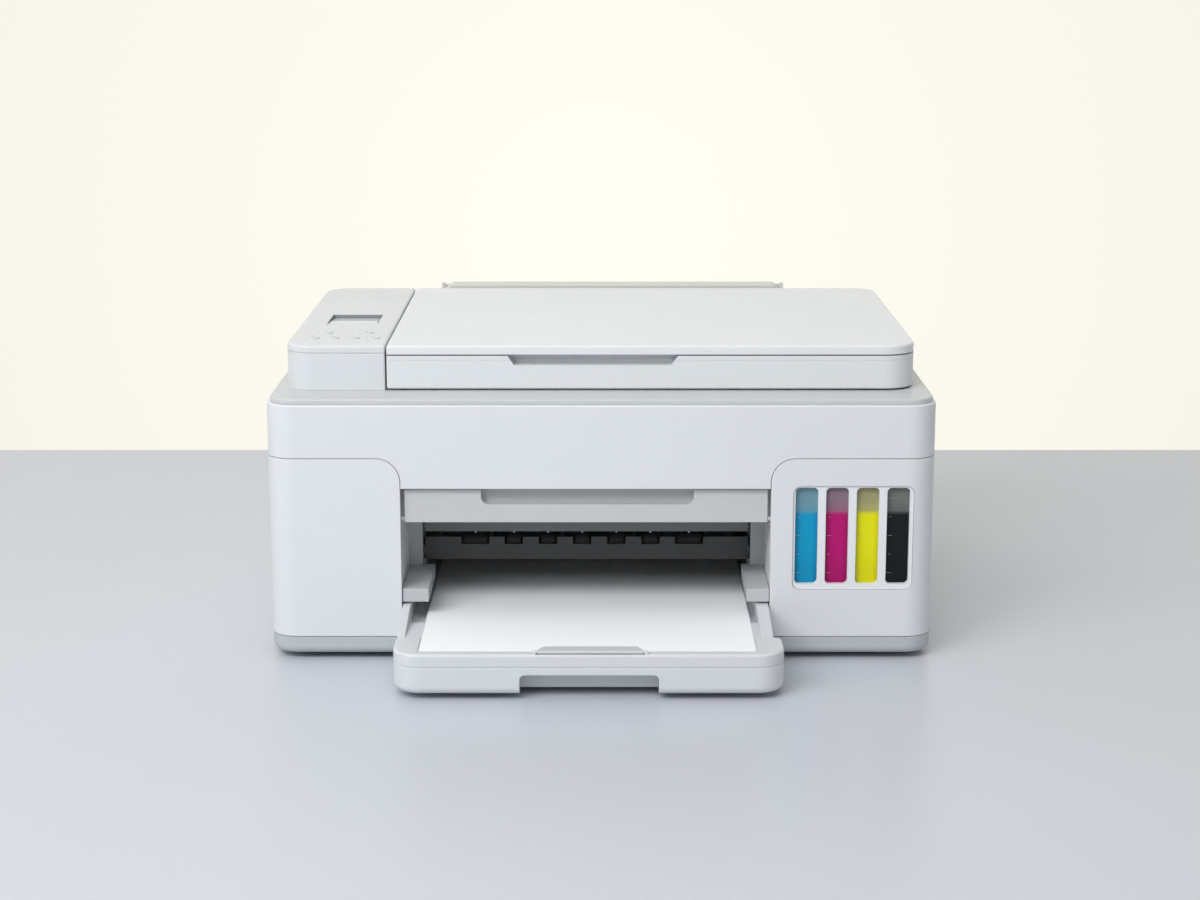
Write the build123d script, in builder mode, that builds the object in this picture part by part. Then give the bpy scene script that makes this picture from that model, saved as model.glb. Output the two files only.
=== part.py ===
"""Multifunction ink-tank printer, millimetres, +Z up.

The origin is the middle of the footprint at table level. X runs to the right and -Y is the
front. Depths named "d" are counted backwards from the body's front face, which stands at
FRONT_Y, because the paper tray reaches out in front of the body.
"""

import math
import os

from build123d import *

os.makedirs("parts", exist_ok=True)

# Body envelope
BODY_W = 434.0
BODY_HALF = BODY_W / 2
BODY_D = 338.0
BODY_R = 18.0
WALL = 2.5
TRAY_REACH = 86.0
FRONT_Y = (TRAY_REACH - BODY_D) / 2

# Heights of the stacked shells
FOOT_H = 4.0
BAND_TOP = 15.6
SEAM = 0.4
COVER_TOP = 134.8
APRON_BOTTOM = 115.1
HOUSING_TOP = 170.0
DECK_T = 3.7
DECK_INSET = 2.0
DECK_TOP = HOUSING_TOP + DECK_T

# Front bay between the side covers
BAY_L = -(BODY_HALF - 86.7)
BAY_R = BODY_HALF - 107.0
BAY_CORNER_R = 15.4
BAY_MID = (BAY_L + BAY_R) / 2
BAY_STEP_D = 62.0
BAY_INSET = 9.3

# Fits and gaps
RUN_GAP = 0.3
SLIDE_GAP = 0.5
PIN_GAP = 0.08


def at(d):
    """Model y of a point that lies d behind the body's front face."""
    return FRONT_Y + d


def save(builder, label):
    """Name a finished piece and write it as its own file."""
    builder.part.label = label
    export_step(builder.part, f"parts/{label}.step")


def block(x0, x1, d0, d1, z0, z1, mode=Mode.ADD):
    """A block between two corners, its depths counted from the front face."""
    with Locations((x0, at(d0), z0)):
        Box(x1 - x0, d1 - d0, z1 - z0, align=(Align.MIN, Align.MIN, Align.MIN), mode=mode)


def plan_rect(x0, x1, d0, d1, mode=Mode.ADD):
    """A rectangle in plan between two corners, inside a sketch."""
    with Locations(((x0 + x1) / 2, at((d0 + d1) / 2))):
        Rectangle(x1 - x0, d1 - d0, mode=mode)


def round_at(sketch, x, d, radius):
    """Round the sketch's corner nearest to a point in plan."""
    corner = sketch.vertices().sort_by_distance((x, at(d)))[0]
    fillet(corner, radius)


def body_plan(inset):
    """The body's rounded outline in plan, drawn in by an inset."""
    with Locations((0, at(BODY_D / 2))):
        RectangleRounded(BODY_W - 2 * inset, BODY_D - 2 * inset, BODY_R - inset)


def body_ring(z0, z1, inset=0.0, wall=WALL):
    """A straight wall round the body's outline."""
    with BuildSketch(Plane.XY.offset(z0)) as ring:
        body_plan(inset)
        with Locations((0, at(BODY_D / 2))):
            inner_w = BODY_W - 2 * (inset + wall)
            inner_d = BODY_D - 2 * (inset + wall)
            RectangleRounded(inner_w, inner_d, BODY_R - inset - wall, mode=Mode.SUBTRACT)
    extrude(ring.sketch, amount=z1 - z0)


# Bottom shell: a shallow tray with a rolled lower edge, open in front for the paper cassette
BASE_EDGE_R = 5.0
FLOOR_TOP = FOOT_H + WALL
CHANNEL_D = 326.0
with BuildPart() as base_tray:
    with BuildSketch(Plane.XY.offset(FOOT_H)):
        body_plan(0)
    extrude(amount=BAND_TOP - FOOT_H)
    fillet(base_tray.faces().sort_by(Axis.Z)[0].edges(), BASE_EDGE_R)
    with BuildSketch(Plane.XY.offset(FLOOR_TOP)):
        body_plan(WALL)
    extrude(amount=BAND_TOP - FLOOR_TOP, mode=Mode.SUBTRACT)
    block(BAY_L, BAY_R, -1, WALL + 1, FLOOR_TOP, BAND_TOP, mode=Mode.SUBTRACT)
    for wall_x in (BAY_L - WALL, BAY_R):
        block(wall_x, wall_x + WALL, WALL, CHANNEL_D, FLOOR_TOP, BAND_TOP)
save(base_tray, "base_tray")

# Four rubber feet under the corners of the bottom shell
FOOT_R = 9.0
FOOT_X = 186.0
FOOT_FRONT_D = 28.0
FOOT_BACK_D = 310.0
FOOT_EDGE_R = 1.0
with BuildPart() as feet:
    with BuildSketch():
        with Locations((-FOOT_X, at(FOOT_FRONT_D)), (FOOT_X, at(FOOT_FRONT_D)),
                       (-FOOT_X, at(FOOT_BACK_D)), (FOOT_X, at(FOOT_BACK_D))):
            Circle(FOOT_R)
    extrude(amount=FOOT_H)
    fillet(feet.faces().filter_by(Axis.Z).group_by(Axis.Z)[0].edges(), FOOT_EDGE_R)
save(feet, "feet")

# Ink window in the right cover
WINDOW_X0 = BODY_HALF - 92.6
WINDOW_X1 = BODY_HALF - 14.4
WINDOW_Z0 = 47.3
WINDOW_Z1 = 116.8
WINDOW_R = 5.0

# Output flap hinge, needed here because its pins turn in the covers' inner walls
FLAP_HINGE_D = 6.0
FLAP_HINGE_Z = 94.0
FLAP_PIN_R = 1.5
FLAP_PIN_REACH = 1.6

# Side covers: the front wall turns back into the bay, and the back wall stops at the rear panel
REAR_PANEL_HALF = BODY_HALF - 19.0
COVER_BOTTOM = BAND_TOP + SEAM
RETURN_TOP = COVER_TOP - BAY_CORNER_R - 1.4


def cover_shell(builder, bay_x, side):
    """One side cover. side is -1 for the left cover and 1 for the right one."""
    body_ring(COVER_BOTTOM, COVER_TOP)
    far = side * (BODY_HALF + 1)
    keep_front = sorted((-far, bay_x))
    block(keep_front[0], keep_front[1], -1, BODY_D / 2, COVER_BOTTOM, COVER_TOP, mode=Mode.SUBTRACT)
    keep_back = sorted((-far, side * (REAR_PANEL_HALF + SEAM)))
    block(keep_back[0], keep_back[1], BODY_D / 2, BODY_D + 1, COVER_BOTTOM, COVER_TOP, mode=Mode.SUBTRACT)
    top_corner = (
        builder.edges()
        .filter_by(Axis.Y)
        .sort_by_distance((bay_x, at(0), COVER_TOP))[0]
    )
    fillet(top_corner, BAY_CORNER_R)
    wall = sorted((bay_x, bay_x + side * WALL))
    block(wall[0], wall[1], 0, BAY_STEP_D, COVER_BOTTOM, RETURN_TOP)
    with BuildSketch(Plane.YZ.offset(bay_x + side * FLAP_PIN_REACH)) as pin_hole:
        with Locations((at(FLAP_HINGE_D), FLAP_HINGE_Z)):
            Circle(FLAP_PIN_R + PIN_GAP)
    extrude(pin_hole.sketch, amount=-side * (FLAP_PIN_REACH + 1), mode=Mode.SUBTRACT)


with BuildPart() as left_cover:
    cover_shell(left_cover, BAY_L, -1)
save(left_cover, "left_cover")

with BuildPart() as right_cover:
    cover_shell(right_cover, BAY_R, 1)
    with BuildSketch(Plane.XZ.offset(-at(WALL + 1))):
        with Locations(((WINDOW_X0 + WINDOW_X1) / 2, (WINDOW_Z0 + WINDOW_Z1) / 2)):
            RectangleRounded(WINDOW_X1 - WINDOW_X0, WINDOW_Z1 - WINDOW_Z0, WINDOW_R)
    extrude(amount=WALL + 2, mode=Mode.SUBTRACT)
save(right_cover, "right_cover")

# Rear panel between the side covers, with the power inlet, a data port and cooling slots
INLET_X = -(BODY_HALF - 49.0)
INLET_Z = 34.0
INLET_W = 22.0
INLET_H = 17.0
PORT_X = BODY_HALF - 45.0
PORT_Z = 36.0
PORT_W = 14.0
PORT_H = 12.0
VENT_COUNT = 9
VENT_PITCH = 9.0
VENT_W = 4.0
VENT_H = 34.0
VENT_X = -128.0
VENT_Z = 96.0
with BuildPart() as rear_panel:
    block(-REAR_PANEL_HALF, REAR_PANEL_HALF, BODY_D - WALL, BODY_D, COVER_BOTTOM, COVER_TOP)
    with BuildSketch(Plane.XZ.offset(-at(BODY_D + 1))):
        with Locations((INLET_X, INLET_Z)):
            RectangleRounded(INLET_W, INLET_H, 3)
        with Locations((PORT_X, PORT_Z)):
            RectangleRounded(PORT_W, PORT_H, 1.5)
        with Locations((VENT_X, VENT_Z)):
            with GridLocations(VENT_PITCH, 1, VENT_COUNT, 1):
                SlotOverall(VENT_H, VENT_W, rotation=90)
    extrude(amount=WALL + 2, mode=Mode.SUBTRACT)
save(rear_panel, "rear_panel")

# Upper housing: the band round the top, its centre apron and the lip that carries the deck
HOUSING_BOTTOM = COVER_TOP + SEAM
HOUSING_EDGE_R = 1.2
LIP_W = 12.0
with BuildPart() as upper_housing:
    body_ring(HOUSING_BOTTOM, HOUSING_TOP - WALL)
    body_ring(HOUSING_TOP - WALL, HOUSING_TOP, wall=LIP_W)
    top_edges = upper_housing.faces().sort_by(Axis.Z)[-1].outer_wire().edges()
    fillet(top_edges, HOUSING_EDGE_R)
    apron_x0 = BAY_L - BAY_CORNER_R
    apron_x1 = BAY_R + BAY_CORNER_R
    with BuildSketch(Plane.XZ.offset(-at(WALL))) as apron:
        with Locations((BAY_MID, (APRON_BOTTOM + HOUSING_BOTTOM) / 2)):
            Rectangle(apron_x1 - apron_x0, HOUSING_BOTTOM - APRON_BOTTOM)
        for bay_x, side in ((BAY_L, -1), (BAY_R, 1)):
            corner_r = BAY_CORNER_R + SEAM
            with Locations((bay_x + side * (corner_r - SEAM), HOUSING_BOTTOM - corner_r)):
                Circle(corner_r, mode=Mode.SUBTRACT)
                Rectangle(2 * corner_r, 3 * corner_r, align=(Align.CENTER, Align.MAX), mode=Mode.SUBTRACT)
    extrude(amount=WALL)
save(upper_housing, "upper_housing")

# Scanner and lid outline in plan
SCAN_X0 = -(BODY_HALF - 76.6)
SCAN_X1 = BODY_HALF - 10.9
SCAN_D0 = 32.0
SCAN_D1 = 292.0
SCAN_FRONT_R = 20.0
SCAN_BACK_R = 16.0
SCAN_LEFT_R = 1.5

# Deck: the grey plate on top of the housing, open above the print carriage and the tank caps
DECK_EDGE_R = 1.2
HATCH_X0 = SCAN_X0 + 22.4
HATCH_X1 = SCAN_X1 - 3.1
HATCH_D0 = 37.0
HATCH_D1 = 206.0
HATCH_R = 10.0
FEED_X0 = -122.8
FEED_X1 = 140.0
FEED_D0 = 299.0
FEED_D1 = 321.0
FEED_WALL = 2.2
with BuildPart() as deck:
    with BuildSketch(Plane.XY.offset(HOUSING_TOP)):
        body_plan(DECK_INSET)
    extrude(amount=DECK_T)
    fillet(deck.faces().sort_by(Axis.Z)[-1].edges(), DECK_EDGE_R)
    with BuildSketch(Plane.XY.offset(HOUSING_TOP)) as hatch:
        plan_rect(HATCH_X0, HATCH_X1, HATCH_D0, HATCH_D1)
        fillet(hatch.vertices(), HATCH_R)
        plan_rect(FEED_X0 + FEED_WALL, FEED_X1 - FEED_WALL, FEED_D0 + FEED_WALL, FEED_D1 - FEED_WALL)
    extrude(amount=DECK_T, mode=Mode.SUBTRACT)
save(deck, "deck")

# Control pod, fixed to the deck beside the scanner
LID_TOP = 203.5
POD_X0 = -(BODY_HALF - 10.2)
POD_X1 = SCAN_X0 - 1.0
POD_R = 18.0
POD_CAP_T = 5.0
POD_WALL = 2.2
POD_SPLIT = LID_TOP - POD_CAP_T
POD_SEAM = 0.4
TOP_EDGE_R = 1.5
with BuildPart() as control_pod:
    with BuildSketch(Plane.XY.offset(DECK_TOP)) as pod_plan:
        plan_rect(POD_X0, POD_X1, SCAN_D0, SCAN_D1)
        round_at(pod_plan, POD_X0, SCAN_D0, POD_R)
        round_at(pod_plan, POD_X0, SCAN_D1, POD_R)
        round_at(pod_plan, POD_X1, SCAN_D0, 1)
        round_at(pod_plan, POD_X1, SCAN_D1, 1)
    extrude(amount=POD_SPLIT - DECK_TOP)
    chamfer(control_pod.faces().sort_by(Axis.Z)[-1].edges(), POD_SEAM)
    with BuildSketch(Plane.XY.offset(DECK_TOP + POD_WALL)) as pod_hollow:
        plan_rect(POD_X0, POD_X1, SCAN_D0, SCAN_D1)
        round_at(pod_hollow, POD_X0, SCAN_D0, POD_R)
        round_at(pod_hollow, POD_X0, SCAN_D1, POD_R)
        offset(amount=-POD_WALL)
    extrude(amount=LID_TOP - DECK_TOP, mode=Mode.SUBTRACT)
save(control_pod, "control_pod")

# Pod cap with the sloped display recess and the holes that the buttons stand in
LCD_X0 = POD_X0 + 17.8
LCD_X1 = POD_X1 - 12.6
LCD_D0 = 115.0
LCD_D1 = 162.0
LCD_DEPTH = 3.2
BUTTON_R = 4.4
BUTTON_GAP = 0.3
BUTTON_FRONT_D = 62.0
BUTTON_BACK_D = 84.0
BUTTON_PITCH = 13.5
BUTTON_PLACES = [(POD_X0 + 14.8 + place * BUTTON_PITCH, BUTTON_FRONT_D) for place in range(4)]
BUTTON_PLACES += [(POD_X0 + 21.6, BUTTON_BACK_D), (POD_X1 - 16.8, BUTTON_BACK_D)]
with BuildPart() as pod_cap:
    with BuildSketch(Plane.XY.offset(POD_SPLIT)) as cap_plan:
        plan_rect(POD_X0, POD_X1, SCAN_D0, SCAN_D1)
        round_at(cap_plan, POD_X0, SCAN_D0, POD_R)
        round_at(cap_plan, POD_X0, SCAN_D1, POD_R)
        round_at(cap_plan, POD_X1, SCAN_D0, 1)
        round_at(cap_plan, POD_X1, SCAN_D1, 1)
    extrude(amount=POD_CAP_T)
    fillet(pod_cap.faces().sort_by(Axis.Z)[-1].edges().filter_by(lambda e: e.length > 2), TOP_EDGE_R)
    with BuildSketch(Plane.YZ.offset(LCD_X0)) as wedge:
        with BuildLine():
            Polyline(
                (at(LCD_D0), LID_TOP),
                (at(LCD_D1), LID_TOP - LCD_DEPTH),
                (at(LCD_D1), LID_TOP + LCD_DEPTH),
                (at(LCD_D0), LID_TOP + LCD_DEPTH),
                close=True,
            )
        make_face()
    extrude(amount=LCD_X1 - LCD_X0, mode=Mode.SUBTRACT)
    with BuildSketch(Plane.XY.offset(POD_SPLIT)):
        with Locations(*[(x, at(d)) for x, d in BUTTON_PLACES]):
            Circle(BUTTON_R + BUTTON_GAP)
    extrude(amount=POD_CAP_T, mode=Mode.SUBTRACT)
save(pod_cap, "pod_cap")

# Display window, a clear plate that lies on the recess's sloped floor
LCD_T = 0.8
LCD_MARGIN = 1.2
lcd_slope = math.degrees(math.atan2(LCD_DEPTH, LCD_D1 - LCD_D0))
lcd_plane = Plane(
    origin=((LCD_X0 + LCD_X1) / 2, at(LCD_D1), LID_TOP - LCD_DEPTH),
    x_dir=(1, 0, 0),
    z_dir=(0, math.sin(math.radians(lcd_slope)), math.cos(math.radians(lcd_slope))),
)
LCD_GLASS_D = 30.0
with BuildPart() as lcd_window:
    with BuildSketch(lcd_plane):
        with Locations((0, -LCD_MARGIN)):
            Rectangle(LCD_X1 - LCD_X0 - 2 * LCD_MARGIN, LCD_GLASS_D, align=(Align.CENTER, Align.MAX))
    extrude(amount=LCD_T)
save(lcd_window, "lcd_window")

# Sizes that place the control board under the buttons
BOARD_T = 1.6
BUTTON_TRAVEL = 0.8
BUTTON_PROUD = 0.6
BUTTON_FLANGE_R = 6.0
BUTTON_FLANGE_T = 1.2
BOARD_X0 = POD_X0 + POD_WALL + 5
BOARD_X1 = POD_X1 - POD_WALL - 2
BOARD_D0 = 50.0
BOARD_D1 = 165.0
BOARD_TOP = POD_SPLIT - BUTTON_FLANGE_T - RUN_GAP - BUTTON_TRAVEL - RUN_GAP
# Buttons: a domed cap on a flange that the pod cap holds down
BUTTON_DOME_R = 0.5
button_names = ["power_button", "copy_button", "stop_button", "start_button", "minus_button", "plus_button"]
for button_name, (button_x, button_d) in zip(button_names, BUTTON_PLACES):
    flange_z = POD_SPLIT - RUN_GAP - BUTTON_FLANGE_T
    with BuildPart() as button:
        with BuildSketch(Plane.XY.offset(flange_z)):
            with Locations((button_x, at(button_d))):
                Circle(BUTTON_FLANGE_R)
        extrude(amount=BUTTON_FLANGE_T)
        with BuildSketch(Plane.XY.offset(flange_z)):
            with Locations((button_x, at(button_d))):
                Circle(BUTTON_R)
        extrude(amount=LID_TOP + BUTTON_PROUD - flange_z)
        fillet(button.edges().sort_by(Axis.Z)[-1], BUTTON_DOME_R)
    save(button, button_name)


def scanner_outline(sketch, inset=0.0):
    """The outline that the scanner and its lid share, drawn in by an inset."""
    plan_rect(SCAN_X0, SCAN_X1, SCAN_D0, SCAN_D1)
    round_at(sketch, SCAN_X1, SCAN_D0, SCAN_FRONT_R)
    round_at(sketch, SCAN_X1, SCAN_D1, SCAN_BACK_R)
    round_at(sketch, SCAN_X0, SCAN_D0, SCAN_LEFT_R)
    round_at(sketch, SCAN_X0, SCAN_D1, SCAN_LEFT_R)
    if inset:
        offset(amount=-inset)


# Scanner hinge line, high and close to the back, so that the open unit clears the rear feed
SCAN_GAP = 1.1
SCAN_BOTTOM = DECK_TOP + SCAN_GAP
LID_GAP = 0.8
LID_T = 6.0
LID_BOTTOM = LID_TOP - LID_T
SCAN_TOP = LID_BOTTOM - LID_GAP
HINGE_D = 286.5
HINGE_Z = 193.0
HINGE_X = (-86.0, 152.0)
HINGE_W = 16.0
HINGE_R = 4.0
HINGE_PIN_R = 2.0
HINGE_PIN_REACH = 5.0
NOTCH_FRONT = 9.0

# Scanner body: an open tray with a finger recess in its front wall under the lid
SCAN_WALL = 2.5
GRIP_X0 = -62.0
GRIP_X1 = 51.0
GRIP_H = 7.0
GRIP_SLANT = 5.0
GRIP_D = 9.0
BEZEL_T = 3.0
BEZEL_BOTTOM = SCAN_TOP - BEZEL_T

# Lid hinge line, along the back edge: the bezel drops behind it to let the lid's edge turn
LID_HINGE_D = 289.0
LID_HINGE_Z = LID_BOTTOM + 1.0
LID_HINGE_X = (-52.0, 118.0)
LID_EAR_W = 14.0
LID_EAR_R = 2.8
LID_STUD_R = 1.4
LID_STUD_REACH = 4.0
LID_RELIEF_D = LID_HINGE_D - 3.5
LID_RELIEF_DROP = 1.7
with BuildPart() as scanner_body:
    with BuildSketch(Plane.XY.offset(SCAN_BOTTOM)) as scanner_plan:
        scanner_outline(scanner_plan)
    extrude(amount=BEZEL_BOTTOM - SCAN_BOTTOM)
    chamfer(scanner_body.faces().sort_by(Axis.Z)[0].edges(), 0.8)
    with BuildSketch(Plane.XY.offset(SCAN_BOTTOM + SCAN_WALL)) as scanner_hollow:
        scanner_outline(scanner_hollow, SCAN_WALL)
        plan_rect(GRIP_X0 - 4, GRIP_X1 + 4, SCAN_D0 - 1, SCAN_D0 + GRIP_D + SCAN_WALL, mode=Mode.SUBTRACT)
        for hinge_x in HINGE_X:
            half = HINGE_W / 2 + RUN_GAP + HINGE_PIN_REACH + 2
            plan_rect(hinge_x - half, hinge_x + half, HINGE_D - NOTCH_FRONT - SCAN_WALL, SCAN_D1,
                      mode=Mode.SUBTRACT)
    extrude(amount=SCAN_TOP, mode=Mode.SUBTRACT)
    with BuildSketch(Plane.XZ.offset(-at(SCAN_D0 + GRIP_D))) as grip:
        with BuildLine():
            Polyline(
                (GRIP_X0, SCAN_TOP + 1),
                (GRIP_X0 + GRIP_SLANT, LID_BOTTOM - GRIP_H),
                (GRIP_X1 - GRIP_SLANT, LID_BOTTOM - GRIP_H),
                (GRIP_X1, SCAN_TOP + 1),
                close=True,
            )
        make_face()
    extrude(amount=GRIP_D + 1, mode=Mode.SUBTRACT)
    for hinge_x in HINGE_X:
        half = HINGE_W / 2 + RUN_GAP
        block(hinge_x - half, hinge_x + half, HINGE_D - NOTCH_FRONT, SCAN_D1 + 1,
              SCAN_BOTTOM - 1, SCAN_TOP, mode=Mode.SUBTRACT)
        with BuildSketch(Plane.YZ.offset(hinge_x - half - HINGE_PIN_REACH - 0.5)):
            with Locations((at(HINGE_D), HINGE_Z)):
                Circle(HINGE_PIN_R + PIN_GAP)
        extrude(amount=2 * half + 2 * HINGE_PIN_REACH + 1, mode=Mode.SUBTRACT)
save(scanner_body, "scanner_body")

# Scanner hinges: posts on the deck with a barrel and a stud to each side
POST_T = 5.5
with BuildPart() as scanner_hinges:
    for hinge_x in HINGE_X:
        with BuildSketch(Plane.YZ.offset(hinge_x - HINGE_W / 2)) as post:
            with Locations((at(HINGE_D), HINGE_Z)):
                Circle(HINGE_R)
            with Locations((at(HINGE_D), HINGE_Z)):
                Rectangle(POST_T, HINGE_Z - DECK_TOP, align=(Align.CENTER, Align.MAX))
        extrude(amount=HINGE_W)
        with BuildSketch(Plane.YZ.offset(hinge_x - HINGE_W / 2 - HINGE_PIN_REACH)):
            with Locations((at(HINGE_D), HINGE_Z)):
                Circle(HINGE_PIN_R)
        extrude(amount=HINGE_W + 2 * HINGE_PIN_REACH)
save(scanner_hinges, "scanner_hinges")

# Scanner bezel: the top frame round the glass, with the ears that hold the lid's studs
GLASS_X0 = -122.0
GLASS_X1 = 188.0
GLASS_D0 = 49.0
GLASS_D1 = 275.0
GLASS_T = 3.0
GLASS_LAP = 5.0
with BuildPart() as scanner_bezel:
    with BuildSketch(Plane.XY.offset(BEZEL_BOTTOM)) as bezel_plan:
        scanner_outline(bezel_plan)
        plan_rect(GLASS_X0 + GLASS_LAP, GLASS_X1 - GLASS_LAP, GLASS_D0 + GLASS_LAP, GLASS_D1 - GLASS_LAP,
                  mode=Mode.SUBTRACT)
    extrude(amount=BEZEL_T)
    with BuildSketch(Plane.XZ.offset(-at(SCAN_D0 + GRIP_D))) as bezel_grip:
        with BuildLine():
            Polyline(
                (GRIP_X0, SCAN_TOP + 1),
                (GRIP_X0 + GRIP_SLANT, LID_BOTTOM - GRIP_H),
                (GRIP_X1 - GRIP_SLANT, LID_BOTTOM - GRIP_H),
                (GRIP_X1, SCAN_TOP + 1),
                close=True,
            )
        make_face()
    extrude(amount=GRIP_D + 1, mode=Mode.SUBTRACT)
    for hinge_x in HINGE_X:
        half = HINGE_W / 2 + RUN_GAP
        block(hinge_x - half, hinge_x + half, HINGE_D - NOTCH_FRONT, SCAN_D1 + 1,
              SCAN_BOTTOM - 1, SCAN_TOP + 1, mode=Mode.SUBTRACT)
        with BuildSketch(Plane.YZ.offset(hinge_x - half - HINGE_PIN_REACH - 0.5)):
            with Locations((at(HINGE_D), HINGE_Z)):
                Circle(HINGE_PIN_R + PIN_GAP)
        extrude(amount=2 * half + 2 * HINGE_PIN_REACH + 1, mode=Mode.SUBTRACT)
    block(SCAN_X0, SCAN_X1, LID_RELIEF_D, SCAN_D1 + 1, SCAN_TOP - LID_RELIEF_DROP, SCAN_TOP,
          mode=Mode.SUBTRACT)
    for ear_x in LID_HINGE_X:
        with BuildSketch(Plane.YZ.offset(ear_x - LID_EAR_W / 2)):
            with Locations((at(LID_HINGE_D), LID_HINGE_Z)):
                Circle(LID_EAR_R)
                Rectangle(2 * LID_EAR_R, LID_HINGE_Z - SCAN_TOP + LID_RELIEF_DROP,
                          align=(Align.CENTER, Align.MAX))
        extrude(amount=LID_EAR_W)
        with BuildSketch(Plane.YZ.offset(ear_x - LID_EAR_W / 2 - LID_STUD_REACH)):
            with Locations((at(LID_HINGE_D), LID_HINGE_Z)):
                Circle(LID_STUD_R)
        extrude(amount=LID_EAR_W + 2 * LID_STUD_REACH)
save(scanner_bezel, "scanner_bezel")

# Platen glass, fixed under the bezel
with BuildPart() as scan_glass:
    block(GLASS_X0, GLASS_X1, GLASS_D0, GLASS_D1, BEZEL_BOTTOM - GLASS_T, BEZEL_BOTTOM)
save(scan_glass, "scan_glass")

# Scan bar on its rail, under the glass
RAIL_R = 3.0
RAIL_Z = SCAN_BOTTOM + SCAN_WALL + RAIL_R + 1.5
RAIL_D = 162.0
BAR_W = 16.0
BAR_X = -108.0
BAR_D0 = 52.0
BAR_D1 = 272.0
BAR_TOP = BEZEL_BOTTOM - GLASS_T - RUN_GAP
BAR_BOTTOM = BAR_TOP - 8.0
SADDLE_HALF = 9.0
BORE_GAP = 0.08
with BuildPart() as scan_rail:
    rail_x0 = SCAN_X0 + SCAN_WALL
    rail_x1 = SCAN_X1 - SCAN_WALL
    with BuildSketch(Plane.YZ.offset(rail_x0)):
        with Locations((at(RAIL_D), RAIL_Z)):
            Circle(RAIL_R)
    extrude(amount=rail_x1 - rail_x0)
save(scan_rail, "scan_rail")

with BuildPart() as scan_carriage:
    block(BAR_X - BAR_W / 2, BAR_X + BAR_W / 2, BAR_D0, BAR_D1, BAR_BOTTOM, BAR_TOP)
    saddle_bottom = SCAN_BOTTOM + SCAN_WALL + RUN_GAP
    block(BAR_X - BAR_W / 2, BAR_X + BAR_W / 2, RAIL_D - SADDLE_HALF, RAIL_D + SADDLE_HALF,
          saddle_bottom, BAR_TOP)
    with BuildSketch(Plane.YZ.offset(BAR_X - BAR_W / 2)):
        with Locations((at(RAIL_D), RAIL_Z)):
            Circle(RAIL_R + BORE_GAP)
    extrude(amount=BAR_W, mode=Mode.SUBTRACT)
    lamp_slot = 6.0
    block(BAR_X - lamp_slot / 2, BAR_X + lamp_slot / 2, BAR_D0 + 4, BAR_D1 - 4, BAR_TOP - 1, BAR_TOP,
          mode=Mode.SUBTRACT)
save(scan_carriage, "scan_carriage")

# Lid: a shallow shell with a rounded top edge, pocketed over the ears and the hinge posts
LID_WALL = 2.2
PAD_X0 = GLASS_X0 + GLASS_LAP + 1.0
PAD_X1 = GLASS_X1 - GLASS_LAP - 1.0
PAD_D0 = GLASS_D0 + GLASS_LAP + 1.0
PAD_D1 = GLASS_D1 - GLASS_LAP - 1.0
PAD_BOTTOM = BEZEL_BOTTOM + RUN_GAP
with BuildPart() as lid:
    with BuildSketch(Plane.XY.offset(LID_BOTTOM)) as lid_plan:
        scanner_outline(lid_plan)
    extrude(amount=LID_T)
    fillet(lid.faces().sort_by(Axis.Z)[-1].edges().filter_by(lambda e: e.length > 3), TOP_EDGE_R)
    with BuildSketch(Plane.XY.offset(LID_BOTTOM)) as lid_hollow:
        scanner_outline(lid_hollow, LID_WALL)
        plan_rect(SCAN_X0, SCAN_X1, PAD_D1 + 1, SCAN_D1, mode=Mode.SUBTRACT)
    extrude(amount=LID_T - LID_WALL, mode=Mode.SUBTRACT)
    for ear_x in LID_HINGE_X:
        half = LID_EAR_W / 2 + RUN_GAP
        block(ear_x - half, ear_x + half, LID_RELIEF_D - RUN_GAP, SCAN_D1 + 1,
              LID_BOTTOM - 1, LID_HINGE_Z + LID_EAR_R + RUN_GAP, mode=Mode.SUBTRACT)
        with BuildSketch(Plane.YZ.offset(ear_x - half - LID_STUD_REACH)):
            with Locations((at(LID_HINGE_D), LID_HINGE_Z)):
                Circle(LID_STUD_R + PIN_GAP)
        extrude(amount=2 * (half + LID_STUD_REACH), mode=Mode.SUBTRACT)
    for hinge_x in HINGE_X:
        half = HINGE_W / 2 + RUN_GAP
        block(hinge_x - half, hinge_x + half, HINGE_D - HINGE_R - 1, SCAN_D1 + 1,
              LID_BOTTOM - 1, LID_BOTTOM + SLIDE_GAP + 2, mode=Mode.SUBTRACT)
save(lid, "lid")

# Foam press pad glued under the lid
with BuildPart() as lid_pad:
    with BuildSketch(Plane.XY.offset(PAD_BOTTOM)) as pad_plan:
        plan_rect(PAD_X0, PAD_X1, PAD_D0, PAD_D1)
        fillet(pad_plan.vertices(), 3)
    extrude(amount=LID_TOP - LID_WALL - PAD_BOTTOM)
save(lid_pad, "lid_pad")

# Ink tanks behind the window: clear boxes with a filler neck each, and the light bezel in front
TANK_COUNT = 4
TANK_PITCH = 19.8
TANK_W = 18.6
TANK_D0 = WALL + 2.0
TANK_D1 = 78.0
TANK_Z0 = 46.0
TANK_Z1 = 140.0
TANK_WALL = 1.5
NECK_R = 5.0
NECK_BORE_R = 3.0
NECK_D = 44.0
NECK_H = 7.0
TANK_MID_X = (WINDOW_X0 + WINDOW_X1) / 2 - 0.6
SIGHT_W = 14.7
SIGHT_Z0 = 51.3
SIGHT_Z1 = 115.6
SIGHT_R = 3.0
tank_xs = [TANK_MID_X + (i - (TANK_COUNT - 1) / 2) * TANK_PITCH for i in range(TANK_COUNT)]
tank_colours = ["cyan", "magenta", "yellow", "black"]

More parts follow.
